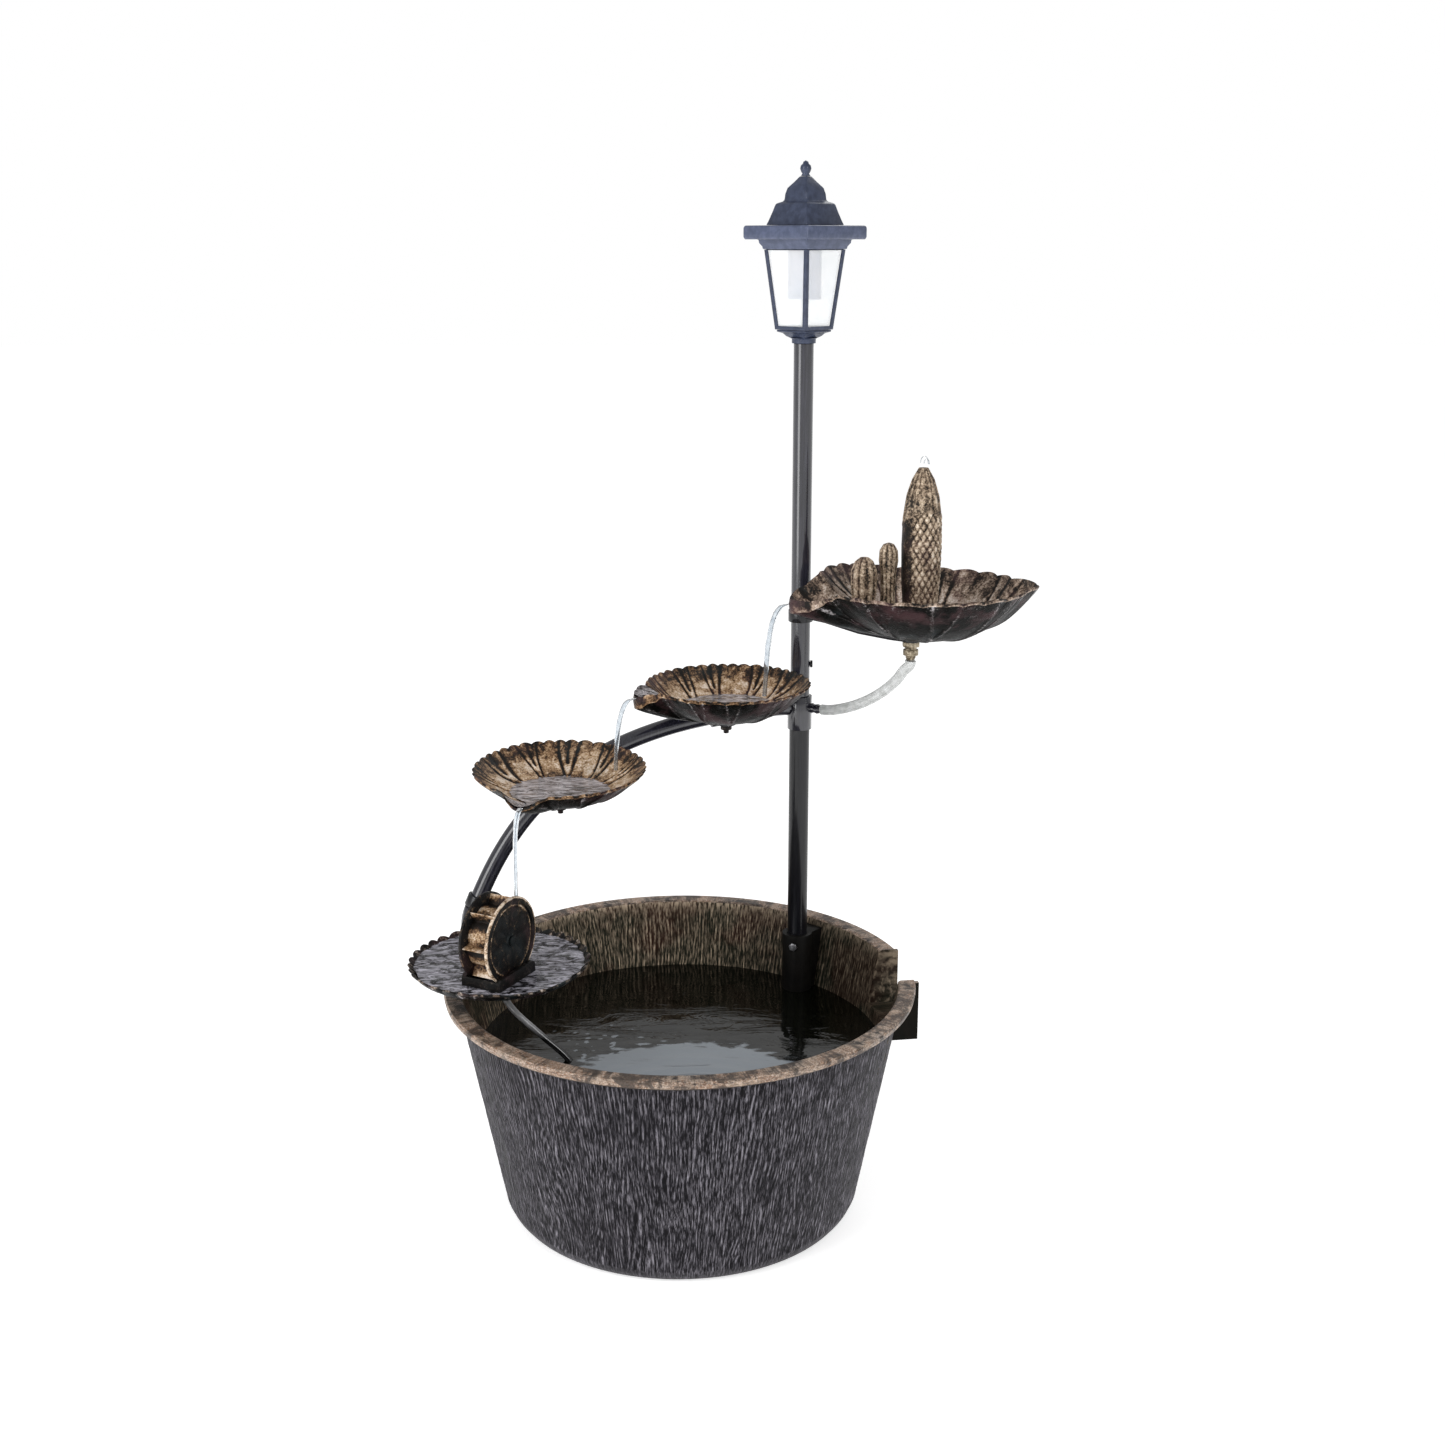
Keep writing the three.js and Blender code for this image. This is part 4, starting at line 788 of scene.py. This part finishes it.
def make_leaf(number, material, hole):
    """A bowl as two skins from its hole to its rim, with a rounded edge between them."""
    leaf = LEAVES[number]
    sides, steps = 480, 34
    levels = [hole / 90 + (1 - hole / 90) * (k / (steps - 1)) ** 0.85 for k in range(steps)]
    rows = [(TOP, t) for t in levels] + [(EDGE, 1.0)] + [(UNDER, t) for t in reversed(levels)]
    verts, worn = [], []
    for skin, t in rows:
        for angle in (360 * i / sides for i in range(sides)):
            if skin == EDGE:
                (x, y, z), brightening = leaf_surface(leaf, TOP, t, angle)
                (_, _, low), _ = leaf_surface(leaf, UNDER, t, angle)
                out = 1 + 0.9 / max(rim_reach(leaf, angle), 1)
                point = (x * out, y * out, z * 0.6 + low * 0.4)
            else:
                point, brightening = leaf_surface(leaf, skin, t, angle)
            verts.append(point)
            worn.append(brightening)
    faces = []
    for r in range(len(rows)):
        a, b = r * sides, ((r + 1) % len(rows)) * sides
        faces += [(a + i, a + (i + 1) % sides, b + (i + 1) % sides, b + i) for i in range(sides)]
    move = leaf_place(leaf)
    verts = [move @ Vector(v) * MM for v in verts]
    obj = new_object(f"leaf_tray_{number}_look", verts, faces, material, 60)
    set_value(obj, "ridge", worn)
    obj.data.materials.append(LEAF_OUT)
    for face in obj.data.polygons[(steps + 1) * sides:]:
        face.material_index = 1
    show(obj, f"leaf_tray_{number}")


# ---------------- ornaments
COB = [(14, 525.6), (16, 545), (18, 575), (18.6, 605), (18, 630), (15, 650), (10.5, 664), (6, 672),
       (4.5, 674.5)]
COB_AT = (217, 65)
TALL_BUD = [(6.5, 534), (7.6, 545), (6.6, 562), (7.2, 580), (9, 592), (8.4, 601), (5, 606.5), (1, 608)]
FLUTED_BUD = [(8, 542), (10.5, 555), (12, 572), (11.8, 584), (8.5, 592), (4, 595.5), (1, 596)]


def cob_relief(angle, z):
    """Depth and lightness: kernels worn pale in a lattice below a curved collar, a husk on one side and a
    hood above, and one side painted lighter.
    """
    collar = 628 + 9 * math.cos(angle + 70 * DEG)
    if z > collar:
        streak = 0.5 + 0.5 * math.sin(14 * angle + 3 * noise.noise(Vector((angle * 3, z * 0.03, 0))))
        depth, shine = -0.9 * (1 - streak), 0.25 + 0.4 * streak
    else:
        husk = 1 / (1 + math.exp(-(math.cos(angle - 188 * DEG) - 0.72) * 22))
        a, b = 9 * angle + (z - 525) * 0.30, 9 * angle - (z - 525) * 0.30
        kernel = (abs(math.cos(a)) * abs(math.cos(b))) ** 0.55
        depth = (kernel - 1) * 1.6 * (1 - husk) - 0.4 * husk
        shine = kernel * (1 - husk) * 1.05 - 0.25 * husk
    lip = line_at(z - collar, 1.6)
    # painted light: the side facing angle -40 degrees is a little lighter
    front = 0.06 * math.cos(angle + 40 * DEG)
    return depth * (1 - lip) + 0.1 * lip, shine * (1 - lip) + 0.5 * lip + front


def make_cob():
    rings, worn = [], []
    for z in np.linspace(COB[0][1], COB[-1][1], 190):
        base = profile_r(COB, z)
        relief = [(angle, *cob_relief(angle, z)) for angle in full_turn(160)]
        rings.append([polar(base - 0.2 + depth * min(1, base / 8), angle, z, COB_AT) * MM
                      for angle, depth, _ in relief])
        worn += [shine for _, _, shine in relief]
    verts, faces = sweep_rings(rings)
    obj = new_object("corn_spout_look", verts, faces, CORN, 60)
    set_value(obj, "ridge", worn + [0.2, 0.2])
    show(obj, "corn_spout")


def make_bud(node, profile, at, flutes, depth):
    rings, worn = [], []
    for r, z in resample(profile, 1.2):
        ring = []
        for angle in full_turn(96):
            flute = abs(math.sin(flutes * angle / 2)) ** 0.6
            ring.append(polar(r - depth * (1 - flute) * min(1, r / 5), angle, z, at) * MM)
            worn.append(flute * 0.8)
        rings.append(ring)
    verts, faces = sweep_rings(rings)
    obj = new_object(node + "_look", verts, faces, CORN, 60)
    set_value(obj, "ridge", worn + [0.2, 0.6])
    show(obj, node)


# ---------------- water wheel
WHEEL_AT, WHEEL_R, WHEEL_W = (-156.6, -74, 284.6), 38.5, 29
WHEEL_AIM = (math.cos(-27 * DEG), math.sin(-27 * DEG), 0)
BORE, RING_R = 2.9, WHEEL_R - 7.6
BUCKETS, BUCKET_PHASE = 7, 37 * DEG


def disc_height(r, angle):
    """Relief of a flange's outer face below its highest level: raised edge, bright ring, petals and hub."""
    if r > WHEEL_R - 5 or r < 6:
        return 0.0
    if r > WHEEL_R - 9:
        return -1.1 + 0.5 * line_at(r - RING_R, 0.9)
    petals = 0.9 * abs(math.cos(4 * angle)) ** 0.6 * math.sin(math.pi * min(1, max(0, (r - 7) / 20)))
    return -1.3 + petals * 0.9


def make_flange(side):
    """A flange, side 1 for the front and -1 for the rear, as an outer face, an edge and a flat back."""
    face = WHEEL_W / 2
    levels = np.concatenate([np.linspace(BORE, 30, 26), np.linspace(30.5, WHEEL_R - 0.4, 16), [WHEEL_R]])
    rows = [(r, "face") for r in levels] + [(WHEEL_R, "edge"), (WHEEL_R - 0.4, "back"), (BORE, "back")]
    rings, worn = [], []
    for r, kind in rows:
        # painted highlight on the raised ring
        brightening = 0.95 * line_at(r - RING_R, 0.8)
        # painted light and shade: the front flange's edge bright, the rear one's dark
        if r > WHEEL_R - 1.6:
            brightening = 1.3 if side > 0 else 0.2
        ring = []
        for angle in full_turn(180):
            z = face + disc_height(r, angle) - (0.4 if r == WHEEL_R else 0)
            if kind != "face":
                z = face - 2.6 + (0.4 if kind == "edge" else 0)
            ring.append(polar(r, angle, z * side) * MM)
            worn.append(0 if kind == "back" else brightening)
        rings.append(ring)
    verts, faces = sweep_rings(rings, True)
    if side < 0:
        faces = [tuple(reversed(f)) for f in faces]
    node = "wheel_front_disc" if side > 0 else "wheel_rear_disc"
    obj = new_object(node + "_look", verts, faces, WHEEL_DISC, 50)
    set_value(obj, "ridge", worn)
    aim(obj, WHEEL_AT, WHEEL_AIM)
    show(obj, node)


def make_drum():
    """Buckets: curved floors between sharp paddles, as one turned ring of teeth."""
    half = WHEEL_W / 2 - 2.9
    toothed = [(None, z) for z in np.linspace(-half, half, 14)]
    outline = [(BORE, -half), (12, -half), (22, -half)] + toothed + [(22, half), (12, half), (BORE, half)]
    rings, worn = [], []
    for r, z in outline:
        ring = []
        for angle in full_turn(360):
            step = (BUCKETS * (angle - BUCKET_PHASE) / (2 * math.pi)) % 1
            tooth = max(line_at(step, 0.042), line_at(step - 1, 0.042))
            reach, brightening = r, 0
            if r is None:
                reach = 26.8 + 10.3 * tooth + 2.2 * math.sin(math.pi * step) * (1 - tooth)
                # each bucket floor darker just after its paddle and lighter past its middle
                floor = 0.9 * line_at(step - 0.62, 0.2) - 0.9 * line_at(step - 0.17, 0.17)
                brightening = 1.2 * tooth + floor - 0.15
            ring.append(polar(reach, angle, z) * MM)
            worn.append(brightening)
        rings.append(ring)
    verts, faces = sweep_rings(rings, True)
    obj = new_object("wheel_drum_look", verts, faces, BRONZE, 50)
    set_value(obj, "ridge", worn)
    aim(obj, WHEEL_AT, WHEEL_AIM)
    show(obj, "wheel_drum")


# ---------------- lantern
def diffuser_rib(angle, r, z):
    return 0.5 * math.sin(z * 2 * math.pi / 4.2) if 820 < z < 859 and r > 15 else 0


def make_diffuser():
    outer = resample([(15.1, 818.4), (15.1, 860.4)], 0.7)
    outline = [(15.0, 818)] + outer + [(14.2, 860.6), (14.2, 819.6), (4, 819.6), (4, 818)]
    tube_look = lathe("diffuser_tube_look", outline, POST_AT, 48, DIFFUSER, diffuser_rib, smooth=60)
    show(tube_look, "diffuser_tube")


# ---------------- the part
make_hose("supply_hose_look", "supply_hose", supply_route(), 5, CLEAR)
make_hose("pump_hose_look", "pump_hose", pump_route(), 3, BLACK_HOSE)
make_tub()
make_leaf(1, LEAF_GREY, 5.2)
make_leaf(2, BRONZE, 3.2)
make_leaf(3, BRONZE, 3.2)
make_leaf(4, BRONZE_DARK, 3.0)
make_cob()
make_bud("tall_bud", TALL_BUD, (187.5, 62), 10, 0.9)
make_bud("fluted_bud", FLUTED_BUD, (165.5, 57), 9, 2.0)
make_post()
arm = tube("arm_pipe_look", arm_line(), 8, 40, POST)
show(arm, "arm_pipe")
plain_nodes(["post_coupler", "riser_elbow"], 0.6, POST)
plain_nodes([f"leaf_clamp_{n}" for n in (1, 2, 3, 4)], 0.5, POST_LOW)
plain_nodes(["upper_post_screw", "lower_post_screw"], 0.5, POST_LOW)
plain_nodes(["post_socket"], 1.2, SOCKET)
plain_nodes(["post_foot_screw", "post_socket_bolt_lower", "post_socket_bolt_upper"], 0.4, STEEL)
plain_nodes([f"leaf_{kind}_{n}" for kind in ("bolt", "nut") for n in (2, 3, 4)], 0.4, BRONZE_DARK)
plain_nodes(["inlet_nut", "supply_hose_collar", "inlet_barb"], 0.4, BRASS)
make_flange(1)
make_flange(-1)
make_drum()
plain_nodes(["wheel_axle"], 0.3, WHEEL_DISC)
plain_nodes(["wheel_cradle"], 1.0, BRONZE_DARK, 3)
plain_nodes(["pump_housing", "pump_strainer", "flow_dial", "pump_impeller"], 0.8, PUMP)
plain_nodes(["pump_foot", "cable_gland"], 0.5, RUBBER)
plain_nodes(["lantern_neck"], 0.8, LAMP)
plain_nodes(["lantern_cage"], 0.4, LAMP, merge=False)
plain_nodes(["lantern_eave"], 1.2, EAVE, 3)
plain_nodes(["lantern_roof"], 0.7, LAMP)
plain_nodes(["lantern_finial"], 0, LAMP)
plain_nodes([f"lantern_pane_{n}" for n in (1, 2, 3, 4)], 0, PANE)
plain_nodes(["led_module"], 0.5, LED)
make_diffuser()


# ---------------- staged water
TUB_WATER_Z, TUB_WATER_R = 151, 186.6
FALLS = {
    "fall_1": ((3.2, 2.0), [(101, 60, 553), (92, 58, 551), (85, 58, 540), (80, 59, 515), (78, 60, 485),
                            (77, 60, 467)]),
    "fall_2": ((2.8, 1.8), [(-40, 40, 470), (-47, 37, 468), (-53, 34, 456), (-57, 30, 430), (-58, 27, 406)]),
    "fall_3": ((2.4, 1.6), [(-133, -76, 403), (-135, -81, 400), (-137, -84, 385), (-138, -85, 350),
                            (-138, -85, 327)]),
}


def water_look(name, color, roughness, scale, strength, painted_sky=None, everywhere=0.0):
    """Water with small waves, and paler with a painted sky reflection where the painted_sky value is set or
    everywhere by some share.
    """
    look = Look(name, roughness, **{"Specular IOR Level": 0.6})
    flat = look.stretch((0.45, 1, 1))
    ripples = look.noise(scale, 4, 0.6, 1.2, vector=flat)
    tone = rgb(color)
    if painted_sky:
        streaks = look.noise(scale * 1.7, 5, 0.7, 1.5, vector=flat)
        amount = look.plus(look.value("painted_sky"), everywhere)
        paler = look.plus(look.math("SUBTRACT", streaks, 0.5), look.times(amount, 0.9))
        tone = look.mix(look.ramp(paler, (0.2, 0.0), (0.44, 1.0)), tone, rgb(painted_sky))
    return look.finish(tone, None, ripples, strength, 0.003)


def sky_patch(p):
    """Painted reflection where the tub's water mirrors the open sky in ripples, in front of the wall's dark
    reflection, with painted glints near the hose.
    """
    reach = math.hypot((p.x - 8) / 100, (p.y + 62) / 62)
    frayed = reach + 0.22 * noise.noise(Vector((p.x * 0.06, p.y * 0.16, 1)))
    ring = 0.12 * math.cos(math.hypot(p.x - 10, (p.y + 80) * 1.2) * 0.55)
    patch = 0.75 / (1 + math.exp((frayed - 0.95) * 16)) * (1 + ring)
    glints = max(0.0, noise.noise(Vector((p.x * 0.12, p.y * 0.3, 5))) - 0.28) * 2.4
    near_hose = math.exp(-(((p.x + 70) / 55) ** 2 + ((p.y - 5) / 50) ** 2))
    return patch + glints * near_hose


def tub_wave(x, y):
    """Rings that spread from the front of the tub, and a slight swell."""
    spread = math.hypot(x - 15, y + 150)
    swell = 0.9 * math.cos(spread * 0.32) * math.exp(-(spread / 95) ** 2)
    return swell + 0.35 * noise.noise(Vector((x * 0.03, y * 0.03, 2)))


def stage_mesh(name, verts, faces, material):
    obj = new_object(name, verts, faces, material, 80)
    return obj


def pool(name, at, outline, material, rings=26, wave=None):
    """A flat sheet of water: outline(angle) is its radius."""
    sides = 180
    verts = [Vector(at) * MM]
    faces = []
    for k in range(1, rings + 1):
        for angle in full_turn(sides):
            r = outline(angle) * k / rings
            x, y = r * math.cos(angle), r * math.sin(angle)
            z = wave(at[0] + x, at[1] + y) if wave else 0
            verts.append((Vector(at) + Vector((x, y, z))) * MM)
    for i in range(sides):
        j = (i + 1) % sides
        faces.append((0, 1 + i, 1 + j))
        for k in range(rings - 1):
            a, b = 1 + k * sides, 1 + (k + 1) * sides
            faces.append((a + i, b + i, b + j, a + j))
    return stage_mesh(name, verts, faces, material)


def bowl_water(number, below_rim, material, reach=0.98):
    """The water line of a bowl, found where its wall passes the water's level."""
    leaf = LEAVES[number]
    shares = [k / 90 for k in range(1, 91)]

    def outline(angle):
        local = (angle / DEG - leaf["spout_az"]) % 360
        wet = [t for t in shares if wall_level(leaf, t, local) < -below_rim]
        ragged = 1 + 0.035 * noise.noise(polar(7, angle, number))
        return min(1, max(wet, default=0) + 0.02) * rim_reach(leaf, local) * reach * ragged
    pool(f"water_{number}", (leaf["x"], leaf["y"], leaf["rim_z"] - below_rim), outline, material)


def spout_film(number, start, material):
    """The thin sheet of water that runs from a bowl's pool out over its lip."""
    leaf = LEAVES[number]
    steps, sides = 14, 16
    half = leaf["spout_half"] * 0.8
    move = leaf_place(leaf)
    verts, faces = [], []
    for k in range(steps + 1):
        t = start + (1.0 - start) * k / steps
        for i in range(sides + 1):
            side = 2 * i / sides - 1
            (x, y, z), _ = leaf_surface(leaf, TOP, t, side * half * (1.35 - 0.35 * k / steps))
            verts.append(move @ Vector((x, y, z + 1.6 * (1 - side * side) + 0.4)) * MM)
    for k in range(steps):
        for i in range(sides):
            a = k * (sides + 1) + i
            faces.append((a, a + 1, a + sides + 2, a + sides + 1))
    stage_mesh(f"film_{number}", verts, faces, material)


def stream(name, path, widths, material):
    """A falling ribbon of water, thinner as it falls."""
    line = catmull(path, 5)
    rings = []
    for i, p in enumerate(line):
        f = i / (len(line) - 1)
        w = widths[0] + (widths[1] - widths[0]) * f
        wide = w + 0.25 * w * noise.noise(Vector((f * 9, w, 3)))
        rings.append([Vector((p[0] + wide * math.cos(a), p[1] + 0.6 * w * math.sin(a), p[2])) * MM
                      for a in full_turn(12)])
    verts, faces = sweep_rings(rings)
    stage_mesh(name, verts, faces, material)


def spurt_over_cob():
    """The small spurt at the tip of the cob."""
    look = Look("spurt", 0.05, **{"Transmission Weight": 0.6, "IOR": 1.33})
    clear = look.finish(look.ramp(look.noise(300, 2), (0.3, rgb("9aa2a8")), (0.7, rgb("f2f5f7"))))
    for name, centre, reach in (("spurt_1", 217.5, 3.6), ("spurt_2", 219.5, 2.4)):
        arc = [(centre + reach * math.cos(a), COB_AT[1], 677 + reach * 2.2 * math.sin(a))
               for a in np.linspace(0.1, 2.9, 9)]
        stream(name, arc, (0.55, 0.45), clear)


def stage_water():
    dark = water_look("tub_water", "080905", 0.04, 40, 0.25, "8c939a")
    brown = water_look("top_water", "3a2f28", 0.05, 120, 0.4)
    pale = water_look("bowl_water", "2c2522", 0.08, 80, 1.2, "d3cccf", 0.34)
    cool = water_look("low_water", "0f0e12", 0.08, 75, 1.8, "dedbe8", 0.3)
    look = Look("falling_water", 0.05, **{"Transmission Weight": 0.9, "IOR": 1.33})
    falling = look.finish(look.ramp(look.noise(200, 3, 0.6), (0.3, rgb("b4bec8")), (0.7, rgb("e8eef2"))))
    tub = pool("water_tub", (0, 0, TUB_WATER_Z), lambda a: TUB_WATER_R, dark, 120, tub_wave)
    set_value(tub, "painted_sky", [sky_patch(v.co * 1000) for v in tub.data.vertices])
    bowl_water(1, 34, brown)
    bowl_water(2, 22, pale)
    bowl_water(3, 20, pale)
    bowl_water(4, 1.9, cool, 0.96)
    spout_film(2, 0.75, pale)
    spout_film(3, 0.5, pale)
    spurt_over_cob()
    for name, (widths, path) in FALLS.items():
        stream(name, path, widths, falling)


# ---------------- staged floor and light
def make_world():
    """White studio air: full white to the camera and softer as light."""
    world = bpy.data.worlds.new("studio")
    world.use_nodes = True
    nodes, links = world.node_tree.nodes, world.node_tree.links
    sky = nodes["Background"]
    sky.inputs[0].default_value = (1, 1, 1, 1)
    rays = nodes.new("ShaderNodeLightPath")
    strength = nodes.new("ShaderNodeMix")
    links.new(rays.outputs["Is Camera Ray"], strength.inputs[0])
    strength.inputs[2].default_value, strength.inputs[3].default_value = 0.5, 1.0
    links.new(strength.outputs[0], sky.inputs[1])
    bpy.context.scene.world = world


def lamp(name, at, power, width, height):
    """A soft light that faces the middle of the fountain."""
    data = bpy.data.lights.new(name, "AREA")
    data.energy, data.shape, data.size, data.size_y = power, "RECTANGLE", width, height
    obj = bpy.data.objects.new(name, data)
    obj.location = at
    obj.rotation_euler = (Vector((0, 0, 0.4)) - Vector(at)).to_track_quat("-Z", "Y").to_euler()
    bpy.context.scene.collection.objects.link(obj)


def stage_room():
    look = Look("pale_floor", 0.8, **{"Specular IOR Level": 0.1})
    look.glow(0.56)
    white = look.finish(look.ramp(look.noise(2, 2), (0.3, rgb("f6f6f6")), (0.7, rgb("f8f8f8"))))
    corners = [(x * 14, y * 14, 0) for x, y in ((-1, -1), (1, -1), (1, 1), (-1, 1))]
    stage_mesh("floor", corners, [(0, 1, 2, 3)], white)
    make_world()
    lamp("key", (-1.5, -1.3, 1.15), 26, 1.0, 2.2)
    lamp("fill", (1.5, -1.7, 1.5), 15, 0.6, 1.2)
    lamp("rim", (0.8, 1.8, 2.2), 7, 1.0, 1.0)
    bpy.context.scene.view_settings.view_transform = "Standard"


stage_water()
stage_room()
